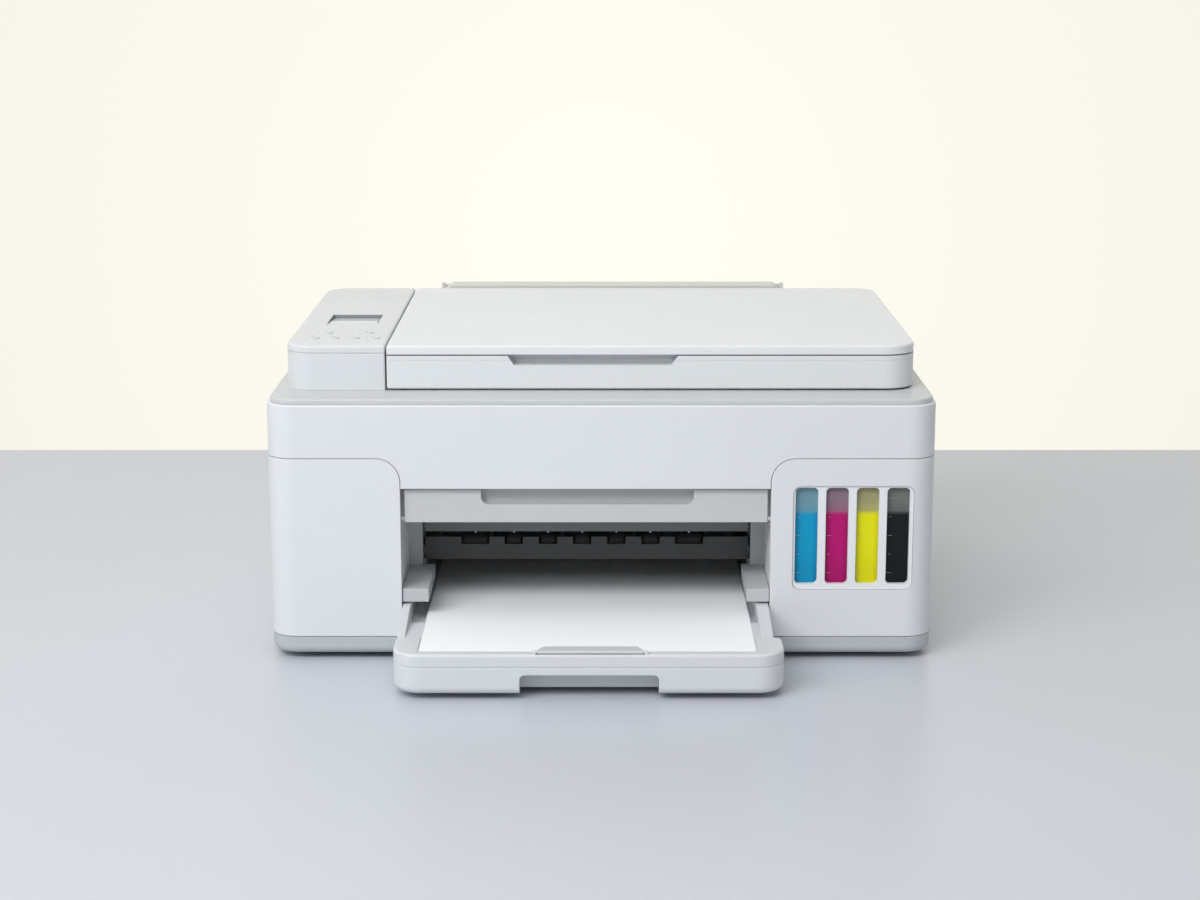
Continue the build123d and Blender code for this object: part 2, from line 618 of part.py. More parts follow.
# Filler cap hinge behind each neck: a pin in two ears
CAP_HINGE_D = NECK_D + 13.0
CAP_HINGE_Z = TANK_Z1 + NECK_H + 1.3
CAP_PIN_R = 1.0
CAP_EAR_X = 5.2
CAP_EAR_T = 1.6
CAP_ARM_W = 8.0
CAP_T = 2.0
PLUG_R = 2.2
PLUG_H = 2.0

BEZEL_GAP = 0.2
with BuildPart() as tank_bezel:
    with BuildSketch(Plane.XZ.offset(-at(TANK_D0))):
        with Locations(((WINDOW_X0 + WINDOW_X1) / 2, (WINDOW_Z0 + WINDOW_Z1) / 2)):
            RectangleRounded(WINDOW_X1 - WINDOW_X0 - 2 * BEZEL_GAP, WINDOW_Z1 - WINDOW_Z0 - 2 * BEZEL_GAP,
                             WINDOW_R - BEZEL_GAP)
        for tank_x in tank_xs:
            with Locations((tank_x, (SIGHT_Z0 + SIGHT_Z1) / 2)):
                RectangleRounded(SIGHT_W, SIGHT_Z1 - SIGHT_Z0, SIGHT_R, mode=Mode.SUBTRACT)
    extrude(amount=TANK_D0 - 1.0)
save(tank_bezel, "tank_bezel")

for tank_x, colour in zip(tank_xs, tank_colours):
    with BuildPart() as ink_tank:
        block(tank_x - TANK_W / 2, tank_x + TANK_W / 2, TANK_D0, TANK_D1, TANK_Z0, TANK_Z1)
        fillet(ink_tank.edges().filter_by(Axis.Z), 1.5)
        with BuildSketch(Plane.XY.offset(TANK_Z1)):
            with Locations((tank_x, at(NECK_D))):
                Circle(NECK_R)
        extrude(amount=NECK_H)
        block(tank_x - TANK_W / 2 + TANK_WALL, tank_x + TANK_W / 2 - TANK_WALL,
              TANK_D0 + TANK_WALL, TANK_D1 - TANK_WALL, TANK_Z0 + TANK_WALL, TANK_Z1 - TANK_WALL,
              mode=Mode.SUBTRACT)
        with BuildSketch(Plane.XY.offset(TANK_Z1 + NECK_H)):
            with Locations((tank_x, at(NECK_D))):
                Circle(NECK_BORE_R)
        extrude(amount=-(NECK_H + TANK_WALL + 1), mode=Mode.SUBTRACT)
        for side in (-1, 1):
            block(tank_x + side * CAP_EAR_X - CAP_EAR_T / 2, tank_x + side * CAP_EAR_X + CAP_EAR_T / 2,
                  CAP_HINGE_D - 2.5, CAP_HINGE_D + 2.5, TANK_Z1, CAP_HINGE_Z + 2.5)
        with BuildSketch(Plane.YZ.offset(tank_x - CAP_EAR_X - CAP_EAR_T)):
            with Locations((at(CAP_HINGE_D), CAP_HINGE_Z)):
                Circle(CAP_PIN_R + PIN_GAP)
        extrude(amount=2 * (CAP_EAR_X + CAP_EAR_T), mode=Mode.SUBTRACT)
    save(ink_tank, f"ink_tank_{colour}")
    with BuildPart() as tank_cap:
        cap_z = TANK_Z1 + NECK_H + 0.3
        with BuildSketch(Plane.XY.offset(cap_z)) as cap_plan:
            with Locations((tank_x, at(NECK_D))):
                Circle(NECK_R + 1.5)
            plan_rect(tank_x - CAP_ARM_W / 2, tank_x + CAP_ARM_W / 2, NECK_D, CAP_HINGE_D)
            plan_rect(tank_x - 4, tank_x + 4, NECK_D - NECK_R - 5.5, NECK_D)
        extrude(amount=CAP_T)
        with BuildSketch(Plane.YZ.offset(tank_x - CAP_ARM_W / 2)):
            with Locations((at(CAP_HINGE_D), CAP_HINGE_Z)):
                Circle(2.0)
        extrude(amount=CAP_ARM_W)
        with BuildSketch(Plane.YZ.offset(tank_x - CAP_EAR_X - CAP_EAR_T / 2)):
            with Locations((at(CAP_HINGE_D), CAP_HINGE_Z)):
                Circle(CAP_PIN_R)
        extrude(amount=2 * CAP_EAR_X + CAP_EAR_T)
        with BuildSketch(Plane.XY.offset(cap_z)):
            with Locations((tank_x, at(NECK_D))):
                Circle(PLUG_R)
        extrude(amount=-PLUG_H)
    save(tank_cap, f"tank_cap_{colour}")

# Paper path heights and rollers
EXIT_D = 73.5
EXIT_Z = 61.3
EXIT_R = 5.5
EXIT_SHAFT_R = 2.5
STAR_R = 5.0
STAR_SHAFT_R = 1.2
STAR_Z = EXIT_Z + EXIT_R + RUN_GAP + STAR_R
FEED_D = 128.0
FEED_Z = 60.2
FEED_R = 6.3
FEED_SHAFT_R = 3.0
PINCH_R = 4.0
PINCH_SHAFT_R = 1.5
PINCH_Z = FEED_Z + FEED_R + RUN_GAP + PINCH_R

# Bay liner: on each side a paper ledge, the step behind it and the wall that holds the rollers
LEDGE_Z0 = 38.9
LEDGE_Z1 = 47.7
LEDGE_D0 = 2.0
LEDGE_W_L = 17.4
LEDGE_W_R = 14.9
LINER_T = 2.5
LINER_TOP = 90.0
LINER_D1 = 140.0
LINER_LOW = 66.7
PINCH_EAR_TOP = PINCH_Z + 4.0
LINER_X_L = BAY_L + BAY_INSET
LINER_X_R = BAY_R - BAY_INSET + 0.3
STEP_D = BAY_STEP_D + 0.3


def liner_side(inner_x, side):
    """Upright wall that carries the roller shafts; side is -1 on the left."""
    with BuildSketch(Plane.YZ.offset(inner_x)) as wall:
        with BuildLine():
            Polyline(
                (at(STEP_D), LEDGE_Z0),
                (at(LINER_D1), LEDGE_Z0),
                (at(LINER_D1), LINER_LOW),
                (at(FEED_D + 7), LINER_LOW),
                (at(FEED_D + 4), PINCH_EAR_TOP),
                (at(FEED_D - 4), PINCH_EAR_TOP),
                (at(FEED_D - 7), LINER_LOW),
                (at(EXIT_D + 6), LINER_LOW),
                (at(EXIT_D + 6), LINER_TOP),
                (at(STEP_D), LINER_TOP),
                close=True,
            )
        make_face()
        for shaft_d, shaft_z, shaft_r in (
            (EXIT_D, EXIT_Z, EXIT_SHAFT_R),
            (EXIT_D, STAR_Z, STAR_SHAFT_R),
            (FEED_D, FEED_Z, FEED_SHAFT_R),
            (FEED_D, PINCH_Z, PINCH_SHAFT_R),
        ):
            with Locations((at(shaft_d), shaft_z)):
                Circle(shaft_r + PIN_GAP, mode=Mode.SUBTRACT)
    extrude(wall.sketch, amount=side * LINER_T)


with BuildPart() as bay_liner:
    for bay_x, inner_x, ledge_w, side in (
        (BAY_L, LINER_X_L, LEDGE_W_L, -1),
        (BAY_R, LINER_X_R, LEDGE_W_R, 1),
    ):
        liner_side(inner_x, side)
        step_x = sorted((inner_x, bay_x + side * WALL))
        block(step_x[0], step_x[1], STEP_D, STEP_D + LINER_T, LEDGE_Z0, LINER_TOP)
        ledge_x = sorted((bay_x - side * SEAM, bay_x - side * ledge_w))
        block(ledge_x[0], ledge_x[1], LEDGE_D0, STEP_D + LINER_T, LEDGE_Z0, LEDGE_Z1)
save(bay_liner, "bay_liner")

# Exit guide: the dark plate with notches that the exit roller shows through
GUIDE_D0 = STEP_D + LINER_T + 0.2
GUIDE_T = 2.2
GUIDE_Z0 = 51.0
GUIDE_Z1 = 66.6
GUIDE_GAP = 1.6
NOTCH_DEPTH = 5.0
NOTCH_W = 12.4
NOTCH_PITCH = 23.2
NOTCH_COUNT = 5
NOTCH_MID_X = -13.0
WIDE_NOTCH_W = 19.0
WIDE_NOTCH_SPAN = 145.0
GUIDE_TAB_D = 3.0
notches = [(NOTCH_MID_X + (i - (NOTCH_COUNT - 1) / 2) * NOTCH_PITCH, NOTCH_W) for i in range(NOTCH_COUNT)]
notches += [(NOTCH_MID_X + side * WIDE_NOTCH_SPAN / 2, WIDE_NOTCH_W) for side in (-1, 1)]
with BuildPart() as exit_guide:
    block(LINER_X_L + GUIDE_GAP, LINER_X_R - GUIDE_GAP, GUIDE_D0, GUIDE_D0 + GUIDE_T, GUIDE_Z0, GUIDE_Z1)
    for notch_x, notch_w in notches:
        block(notch_x - notch_w / 2, notch_x + notch_w / 2, GUIDE_D0 - 1, GUIDE_D0 + GUIDE_T + 1,
              GUIDE_Z1 - NOTCH_DEPTH, GUIDE_Z1, mode=Mode.SUBTRACT)
    block(LINER_X_L, LINER_X_R, GUIDE_D0 + GUIDE_T, GUIDE_D0 + GUIDE_T + GUIDE_TAB_D, GUIDE_Z0, GUIDE_Z0 + 2)
save(exit_guide, "exit_guide")

# Star wheel holder: the grey strip over the exit slot
SLOT_H = 3.8
HOLDER_Z0 = GUIDE_Z1 + SLOT_H
HOLDER_Z1 = 88.0
HOLDER_D1 = EXIT_D + 5.8
with BuildPart() as star_wheel_holder:
    block(LINER_X_L + GUIDE_GAP, LINER_X_R - GUIDE_GAP, GUIDE_D0, GUIDE_D0 + 1.6, HOLDER_Z0, HOLDER_Z1)
    block(LINER_X_L, LINER_X_R, GUIDE_D0, HOLDER_D1, HOLDER_Z1 - 2, HOLDER_Z1)
save(star_wheel_holder, "star_wheel_holder")

# Star wheels on their shaft above the exit roller
STAR_POINTS = 9
STAR_ROOT_R = 3.6
STAR_T = 1.0
STAR_AXLE_OVER = 2.3
shaft_x0 = LINER_X_L - STAR_AXLE_OVER
shaft_x1 = LINER_X_R + STAR_AXLE_OVER
with BuildPart() as star_wheels:
    with BuildSketch(Plane.YZ.offset(shaft_x0)):
        with Locations((at(EXIT_D), STAR_Z)):
            Circle(STAR_SHAFT_R)
    extrude(amount=shaft_x1 - shaft_x0)
    for notch_x, notch_w in notches:
        with BuildSketch(Plane.YZ.offset(notch_x - STAR_T / 2)):
            star_tips = []
            for i in range(2 * STAR_POINTS):
                radius = STAR_R if i % 2 == 0 else STAR_ROOT_R
                turn = math.pi * i / STAR_POINTS
                star_tips.append((at(EXIT_D) + radius * math.cos(turn), STAR_Z + radius * math.sin(turn)))
            with BuildLine():
                Polyline(*star_tips, close=True)
            make_face()
        extrude(amount=STAR_T)
save(star_wheels, "star_wheels")

# Exit roller: rubber sleeves on a steel shaft, one behind each notch
SLEEVE_MARGIN = 1.4
with BuildPart() as exit_roller:
    with BuildSketch(Plane.YZ.offset(shaft_x0)):
        with Locations((at(EXIT_D), EXIT_Z)):
            Circle(EXIT_SHAFT_R)
    extrude(amount=shaft_x1 - shaft_x0)
    for notch_x, notch_w in notches:
        sleeve_w = notch_w - 2 * SLEEVE_MARGIN
        with BuildSketch(Plane.YZ.offset(notch_x - sleeve_w / 2)):
            with Locations((at(EXIT_D), EXIT_Z)):
                Circle(EXIT_R)
        extrude(amount=sleeve_w)
save(exit_roller, "exit_roller")

# Platen: a plate with ribs that the sheet slides over under the print heads
PLATEN_D0 = 82.0
PLATEN_D1 = 118.0
PLATEN_Z0 = 60.0
PLATEN_T = 2.0
PLATEN_RIB_TOP = 66.0
PLATEN_RIB_W = 2.0
PLATEN_RIB_COUNT = 13
PLATEN_RIB_PITCH = 16.4
with BuildPart() as platen:
    block(LINER_X_L, LINER_X_R, PLATEN_D0, PLATEN_D1, PLATEN_Z0, PLATEN_Z0 + PLATEN_T)
    with Locations(((LINER_X_L + LINER_X_R) / 2, at((PLATEN_D0 + PLATEN_D1) / 2), PLATEN_Z0 + PLATEN_T)):
        with GridLocations(PLATEN_RIB_PITCH, 1, PLATEN_RIB_COUNT, 1):
            Box(PLATEN_RIB_W, PLATEN_D1 - PLATEN_D0, PLATEN_RIB_TOP - PLATEN_Z0 - PLATEN_T,
                align=(Align.CENTER, Align.CENTER, Align.MIN))
save(platen, "platen")

# Main feed roller and the pinch rollers above it
FEED_END = 4.0
with BuildPart() as feed_roller:
    with BuildSketch(Plane.YZ.offset(shaft_x0)):
        with Locations((at(FEED_D), FEED_Z)):
            Circle(FEED_SHAFT_R)
    extrude(amount=shaft_x1 - shaft_x0)
    with BuildSketch(Plane.YZ.offset(LINER_X_L + FEED_END)):
        with Locations((at(FEED_D), FEED_Z)):
            Circle(FEED_R)
    extrude(amount=LINER_X_R - LINER_X_L - 2 * FEED_END)
save(feed_roller, "feed_roller")

PINCH_COUNT = 6
PINCH_PITCH = 36.0
PINCH_W = 18.0
with BuildPart() as pinch_rollers:
    with BuildSketch(Plane.YZ.offset(shaft_x0)):
        with Locations((at(FEED_D), PINCH_Z)):
            Circle(PINCH_SHAFT_R)
    extrude(amount=shaft_x1 - shaft_x0)
    for i in range(PINCH_COUNT):
        pinch_x = (LINER_X_L + LINER_X_R) / 2 + (i - (PINCH_COUNT - 1) / 2) * PINCH_PITCH - PINCH_W / 2
        with BuildSketch(Plane.YZ.offset(pinch_x)):
            with Locations((at(FEED_D), PINCH_Z)):
                Circle(PINCH_R)
        extrude(amount=PINCH_W)
save(pinch_rollers, "pinch_rollers")

# Carriage frame: a steel sheet across the machine with folded ends, on two legs
FRAME_D = 140.5
FRAME_T = 1.5
FRAME_HALF = BODY_HALF - 14.0
FRAME_Z0 = 78.0
FRAME_Z1 = 150.0
LEG_L = -138.0
LEG_R = 118.0
FLANGE_W = 16.0
ROD_D = 124.0
ROD_Z = 98.0
ROD_R = 4.0
PULLEY_X = -(FRAME_HALF - 21.0)
IDLER_X = FRAME_HALF - 17.0
PULLEY_Z = 122.0
PULLEY_R = 6.0
BELT_T = 1.0
BELT_W = 4.0
BELT_D = FRAME_D - 1.0 - BELT_W
MOTOR_SHAFT_R = 1.5
with BuildPart() as carriage_frame:
    with BuildSketch(Plane.XZ.offset(-at(FRAME_D + FRAME_T))):
        with BuildLine():
            Polyline(
                (-FRAME_HALF, FLOOR_TOP),
                (LEG_L, FLOOR_TOP),
                (LEG_L, FRAME_Z0),
                (LEG_R, FRAME_Z0),
                (LEG_R, FLOOR_TOP),
                (FRAME_HALF, FLOOR_TOP),
                (FRAME_HALF, FRAME_Z1),
                (-FRAME_HALF, FRAME_Z1),
                close=True,
            )
        make_face()
        with Locations((PULLEY_X, PULLEY_Z)):
            Circle(4.5, mode=Mode.SUBTRACT)
    extrude(amount=FRAME_T)
    block(-FRAME_HALF, FRAME_HALF, FRAME_D - FLANGE_W, FRAME_D, FRAME_Z1 - FRAME_T, FRAME_Z1)
    for end_x in (-FRAME_HALF, FRAME_HALF - FRAME_T):
        block(end_x, end_x + FRAME_T, ROD_D - 10, FRAME_D, ROD_Z - 12, FRAME_Z1)
    with BuildSketch(Plane.YZ.offset(-FRAME_HALF - 1)):
        with Locations((at(ROD_D), ROD_Z)):
            Circle(ROD_R + 0.02)
    extrude(amount=2 * FRAME_HALF + 2, mode=Mode.SUBTRACT)
    with BuildSketch(Plane.XZ.offset(-at(FRAME_D))):
        with Locations((IDLER_X, PULLEY_Z)):
            Circle(PULLEY_R + RUN_GAP)
    extrude(amount=BELT_W + 1.5)
save(carriage_frame, "carriage_frame")

with BuildPart() as carriage_rod:
    with BuildSketch(Plane.YZ.offset(-FRAME_HALF - 1)):
        with Locations((at(ROD_D), ROD_Z)):
            Circle(ROD_R)
    extrude(amount=2 * FRAME_HALF + 2)
save(carriage_rod, "carriage_rod")

# Print carriage: slides on the rod, its nose low over the platen, open on top for the heads
CARRIAGE_X = FRAME_HALF - 51.0
CARRIAGE_W = 74.0
CARRIAGE_D0 = 81.5
CARRIAGE_D1 = 132.0
CARRIAGE_Z0 = 80.0
CARRIAGE_Z1 = 128.0
NOSE_D0 = 86.0
NOSE_D1 = 114.0
NOSE_W = 58.0
NOSE_Z = 67.4
POCKET_W = 31.0
POCKET_SHIFT = POCKET_W / 2 + 1.2
POCKET_FLOOR = CARRIAGE_Z0 + 2
POCKET_D0 = 84.0
POCKET_D1 = 117.0
with BuildPart() as print_carriage:
    block(CARRIAGE_X - CARRIAGE_W / 2, CARRIAGE_X + CARRIAGE_W / 2, CARRIAGE_D0, CARRIAGE_D1,
          CARRIAGE_Z0, CARRIAGE_Z1)
    x_edges = print_carriage.edges().filter_by(Axis.X)
    top_front = x_edges.sort_by_distance((CARRIAGE_X, at(0), CARRIAGE_Z1))[0]
    fillet(top_front, 5)
    fillet(print_carriage.edges().filter_by(Axis.Z), 3)
    block(CARRIAGE_X - NOSE_W / 2, CARRIAGE_X + NOSE_W / 2, NOSE_D0, NOSE_D1, NOSE_Z, CARRIAGE_Z0)
    for side in (-1, 1):
        pocket_x = CARRIAGE_X + side * POCKET_SHIFT
        block(pocket_x - POCKET_W / 2, pocket_x + POCKET_W / 2, POCKET_D0, POCKET_D1,
              POCKET_FLOOR, CARRIAGE_Z1 + 1, mode=Mode.SUBTRACT)
    with BuildSketch(Plane.YZ.offset(CARRIAGE_X - CARRIAGE_W / 2 - 1)):
        with Locations((at(ROD_D), ROD_Z)):
            Circle(ROD_R + BORE_GAP)
    extrude(amount=CARRIAGE_W + 2, mode=Mode.SUBTRACT)
save(print_carriage, "print_carriage")

# Two print heads standing in the carriage's pockets
HEAD_GAP = 0.4
with BuildPart() as print_heads:
    for side in (-1, 1):
        pocket_x = CARRIAGE_X + side * POCKET_SHIFT
        block(pocket_x - POCKET_W / 2 + HEAD_GAP, pocket_x + POCKET_W / 2 - HEAD_GAP,
              POCKET_D0 + HEAD_GAP, POCKET_D1 - HEAD_GAP, POCKET_FLOOR, CARRIAGE_Z1 + 2)
    fillet(print_heads.faces().sort_by(Axis.Z)[-2:].edges(), 1.5)
save(print_heads, "print_heads")

# Toothed belt round the drive pulley and the idler, its teeth left out
with BuildPart() as carriage_belt:
    belt_span = IDLER_X - PULLEY_X
    with BuildSketch(Plane.XZ.offset(-at(BELT_D + BELT_W))):
        with Locations(((IDLER_X + PULLEY_X) / 2, PULLEY_Z)):
            SlotCenterToCenter(belt_span, 2 * (PULLEY_R + RUN_GAP + BELT_T))
            SlotCenterToCenter(belt_span, 2 * (PULLEY_R + RUN_GAP), mode=Mode.SUBTRACT)
    extrude(amount=BELT_W)
save(carriage_belt, "carriage_belt")

with BuildPart() as drive_pulley:
    with BuildSketch(Plane.XZ.offset(-at(BELT_D + BELT_W))):
        with Locations((PULLEY_X, PULLEY_Z)):
            Circle(PULLEY_R)
            Circle(MOTOR_SHAFT_R + PIN_GAP, mode=Mode.SUBTRACT)
    extrude(amount=BELT_W + 1)
save(drive_pulley, "drive_pulley")

MOTOR_R = 15.0
MOTOR_L = 32.0
with BuildPart() as carriage_motor:
    with BuildSketch(Plane.XZ.offset(-at(FRAME_D + FRAME_T))):
        with Locations((PULLEY_X, PULLEY_Z)):
            Circle(MOTOR_R)
    extrude(amount=-MOTOR_L)
    with BuildSketch(Plane.XZ.offset(-at(FRAME_D + FRAME_T))):
        with Locations((PULLEY_X, PULLEY_Z)):
            Circle(MOTOR_SHAFT_R)
    extrude(amount=FRAME_T + 1 + BELT_W)
save(carriage_motor, "carriage_motor")

# Service station under the parked carriage: a box with two rubber caps
STATION_X0 = CARRIAGE_X - 32.0
STATION_X1 = CARRIAGE_X + 32.0
STATION_D0 = 84.0
STATION_D1 = 116.0
STATION_TOP = 62.0
STATION_CAP_H = 4.6
STATION_WALL = 2.0
with BuildPart() as service_station:
    block(STATION_X0, STATION_X1, STATION_D0, STATION_D1, FLOOR_TOP, STATION_TOP)
    block(STATION_X0 + STATION_WALL, STATION_X1 - STATION_WALL, STATION_D0 + STATION_WALL,
          STATION_D1 - STATION_WALL, STATION_TOP - 6, STATION_TOP, mode=Mode.SUBTRACT)
    for side in (-1, 1):
        cap_x = CARRIAGE_X + side * (POCKET_W / 2 + 1.2)
        block(cap_x - 9, cap_x + 9, STATION_D0 + 5, STATION_D1 - 5,
              STATION_TOP - 6, STATION_TOP + STATION_CAP_H)
        block(cap_x - 7, cap_x + 7, STATION_D0 + 7, STATION_D1 - 7, STATION_TOP, STATION_TOP + STATION_CAP_H,
              mode=Mode.SUBTRACT)
save(service_station, "service_station")

# Power supply behind the rear panel, with its inlet socket in the panel's cut-out
PSU_X0 = -204.0
PSU_X1 = -144.0
PSU_D0 = 196.0
PSU_TOP = 62.0
PSU_BACK_GAP = 3.0
INLET_FIT = 0.3
INLET_PIN_R = 1.2
INLET_PIN_PITCH = 8.6
INLET_DEPTH = 12.0
with BuildPart() as power_supply:
    block(PSU_X0, PSU_X1, PSU_D0, BODY_D - WALL - PSU_BACK_GAP, FLOOR_TOP, PSU_TOP)
    with BuildSketch(Plane.XZ.offset(-at(BODY_D - 0.5))):
        with Locations((INLET_X, INLET_Z)):
            RectangleRounded(INLET_W - 2 * INLET_FIT, INLET_H - 2 * INLET_FIT, 3 - INLET_FIT)
    extrude(amount=PSU_BACK_GAP + WALL)
    with BuildSketch(Plane.XZ.offset(-at(BODY_D - 0.5))):
        with Locations((INLET_X, INLET_Z)):
            SlotOverall(INLET_W - 6, INLET_H - 8)
    extrude(amount=INLET_DEPTH, mode=Mode.SUBTRACT)
    with BuildSketch(Plane.XZ.offset(-at(BODY_D - 0.5 - INLET_DEPTH))):
        with Locations((INLET_X, INLET_Z)):
            with GridLocations(INLET_PIN_PITCH, 1, 2, 1):
                Circle(INLET_PIN_R)
    extrude(amount=-(INLET_DEPTH - 2))
save(power_supply, "power_supply")

# Circuit boards: the main one on posts from the left cover, the data port's at the back, and
# the control board on posts from the pod's floor
MAIN_BOARD_X = -(BODY_HALF - 8.0)
MAIN_BOARD_D0 = 40.0
MAIN_BOARD_D1 = 190.0
MAIN_BOARD_Z0 = 24.0
MAIN_BOARD_Z1 = 112.0
PORT_BOARD_W = 34.0
PORT_BOARD_D = 30.0
with BuildPart() as circuit_boards:
    block(MAIN_BOARD_X, MAIN_BOARD_X + BOARD_T, MAIN_BOARD_D0, MAIN_BOARD_D1, MAIN_BOARD_Z0, MAIN_BOARD_Z1)
    for post_d in (MAIN_BOARD_D0 + 8, MAIN_BOARD_D1 - 8):
        for post_z in (MAIN_BOARD_Z0 + 8, MAIN_BOARD_Z1 - 8):
            with BuildSketch(Plane.YZ.offset(-BODY_HALF + WALL)):
                with Locations((at(post_d), post_z)):
                    Circle(3)
            extrude(amount=MAIN_BOARD_X + BODY_HALF - WALL)
    board_mid_d = (MAIN_BOARD_D0 + MAIN_BOARD_D1) / 2
    board_mid_z = (MAIN_BOARD_Z0 + MAIN_BOARD_Z1) / 2
    with Locations((MAIN_BOARD_X + BOARD_T, at(board_mid_d), board_mid_z)):
        Box(6, 30, 30, align=(Align.MIN, Align.CENTER, Align.CENTER))
    with Locations((MAIN_BOARD_X + BOARD_T, at(MAIN_BOARD_D0 + 20), board_mid_z)):
        Box(8, 12, 40, align=(Align.MIN, Align.CENTER, Align.CENTER))
    port_floor = PORT_Z - PORT_H / 2 - 2
    block(PORT_X - PORT_BOARD_W / 2, PORT_X + PORT_BOARD_W / 2, BODY_D - WALL - PORT_BOARD_D, BODY_D - WALL,
          port_floor - BOARD_T, port_floor)
    for post_x in (PORT_X - PORT_BOARD_W / 2 + 4, PORT_X + PORT_BOARD_W / 2 - 4):
        block(post_x - 2, post_x + 2, BODY_D - WALL - PORT_BOARD_D, BODY_D - WALL,
              FLOOR_TOP, port_floor - BOARD_T)
    socket_x0 = PORT_X - PORT_W / 2 + INLET_FIT
    socket_x1 = PORT_X + PORT_W / 2 - INLET_FIT
    socket_z1 = PORT_Z + PORT_H / 2 - INLET_FIT
    block(socket_x0, socket_x1, BODY_D - WALL - 16, BODY_D - WALL, port_floor, socket_z1)
    lip = 2 * INLET_FIT
    block(PORT_X - PORT_W / 2 + lip, PORT_X + PORT_W / 2 - lip, BODY_D - WALL - 1, BODY_D - 0.5,
          PORT_Z - PORT_H / 2 + lip, PORT_Z + PORT_H / 2 - lip)
    block(PORT_X - PORT_W / 2 + 2, PORT_X + PORT_W / 2 - 2, BODY_D - 10, BODY_D,
          PORT_Z - PORT_H / 2 + 2, PORT_Z + PORT_H / 2 - 2, mode=Mode.SUBTRACT)
    block(BOARD_X0, BOARD_X1, BOARD_D0, BOARD_D1, BOARD_TOP - BOARD_T, BOARD_TOP)
    with BuildSketch(Plane.XY.offset(DECK_TOP + POD_WALL)):
        for x in (BOARD_X0 + 5, BOARD_X1 - 5):
            for d in (BOARD_D0 + 5, BOARD_D1 - 5):
                with Locations((x, at(d))):
                    Circle(2.5)
    extrude(amount=BOARD_TOP - BOARD_T - DECK_TOP - POD_WALL)
save(circuit_boards, "circuit_boards")

# Pickup roller sizes, shared with the legs that hold its shaft
PICKUP_D = 285.0
PICKUP_Z = 31.0
PICKUP_R = 9.0
PICKUP_W = 40.0
PICKUP_SHAFT_R = 3.0

# Rear turn: the curved shell that leads paper from the cassette up and forward
TURN_D = 300.0
TURN_Z = 47.0
TURN_R = 22.0
TURN_T = 2.0
TURN_LEG_GAP = 3.0
TURN_TOP_D = FRAME_D + FRAME_T + 4.0
turn_x0 = BAY_L - WALL - TURN_LEG_GAP - TURN_T
turn_x1 = BAY_R + WALL + TURN_LEG_GAP + TURN_T
with BuildPart() as turn_guide:
    with BuildSketch(Plane.YZ.offset(turn_x0)):
        with Locations((at(TURN_D), TURN_Z)):
            Circle(TURN_R + TURN_T)
            Circle(TURN_R, mode=Mode.SUBTRACT)
            Rectangle(TURN_R + TURN_T, 2 * (TURN_R + TURN_T), align=(Align.MAX, Align.CENTER),
                      mode=Mode.SUBTRACT)
        with Locations((at(TURN_TOP_D), TURN_Z + TURN_R)):
            Rectangle(TURN_D - TURN_TOP_D, TURN_T, align=(Align.MIN, Align.MIN))
    extrude(amount=turn_x1 - turn_x0)
    for leg_x in (turn_x0, turn_x1 - TURN_T):
        block(leg_x, leg_x + TURN_T, TURN_D - 80, TURN_D, FLOOR_TOP, TURN_Z + TURN_R)
    with BuildSketch(Plane.YZ.offset(turn_x0 - 1)):
        with Locations((at(PICKUP_D), PICKUP_Z)):
            Circle(PICKUP_SHAFT_R + PIN_GAP)
    extrude(amount=turn_x1 - turn_x0 + 2, mode=Mode.SUBTRACT)
save(turn_guide, "turn_guide")

# Pickup roller on its shaft over the back of the cassette
with BuildPart() as pickup_roller:
    with BuildSketch(Plane.YZ.offset(turn_x0)):
        with Locations((at(PICKUP_D), PICKUP_Z)):
            Circle(PICKUP_SHAFT_R)
    extrude(amount=turn_x1 - turn_x0)
    with BuildSketch(Plane.YZ.offset(BAY_MID - PICKUP_W / 2)):
        with Locations((at(PICKUP_D), PICKUP_Z)):
            Circle(PICKUP_R)
    extrude(amount=PICKUP_W)
save(pickup_roller, "pickup_roller")

# Rear feed frame on the deck, with ears that hold the support's studs
FRAME_TOP = 200.0
SUPPORT_TOP = 204.2
SUPPORT_GAP = 0.4
SUPPORT_HINGE_D = FEED_D1 - 2.6
SUPPORT_HINGE_Z = 202.3
SUPPORT_STUD_R = 1.0
SUPPORT_DROP = 1.6
FEED_EAR_L = 6.0
with BuildPart() as rear_feed_frame:
    block(FEED_X0, FEED_X1, FEED_D0, FEED_D1, DECK_TOP, FRAME_TOP)
    block(FEED_X0 + FEED_WALL, FEED_X1 - FEED_WALL, FEED_D0 + FEED_WALL, FEED_D1 - FEED_WALL,
          DECK_TOP, FRAME_TOP, mode=Mode.SUBTRACT)
    block(FEED_X0, FEED_X1, FEED_D1 - FEED_EAR_L, FEED_D1 + 1, FRAME_TOP - SUPPORT_DROP, FRAME_TOP,
          mode=Mode.SUBTRACT)
    for end_x in (FEED_X0, FEED_X1 - FEED_WALL):
        block(end_x, end_x + FEED_WALL, FEED_D1 - FEED_EAR_L, FEED_D1, DECK_TOP, SUPPORT_TOP - 0.4)
    with BuildSketch(Plane.YZ.offset(FEED_X0 - 1)):
        with Locations((at(SUPPORT_HINGE_D), SUPPORT_HINGE_Z)):
            Circle(SUPPORT_STUD_R + PIN_GAP)
    extrude(amount=FEED_X1 - FEED_X0 + 2, mode=Mode.SUBTRACT)
save(rear_feed_frame, "rear_feed_frame")

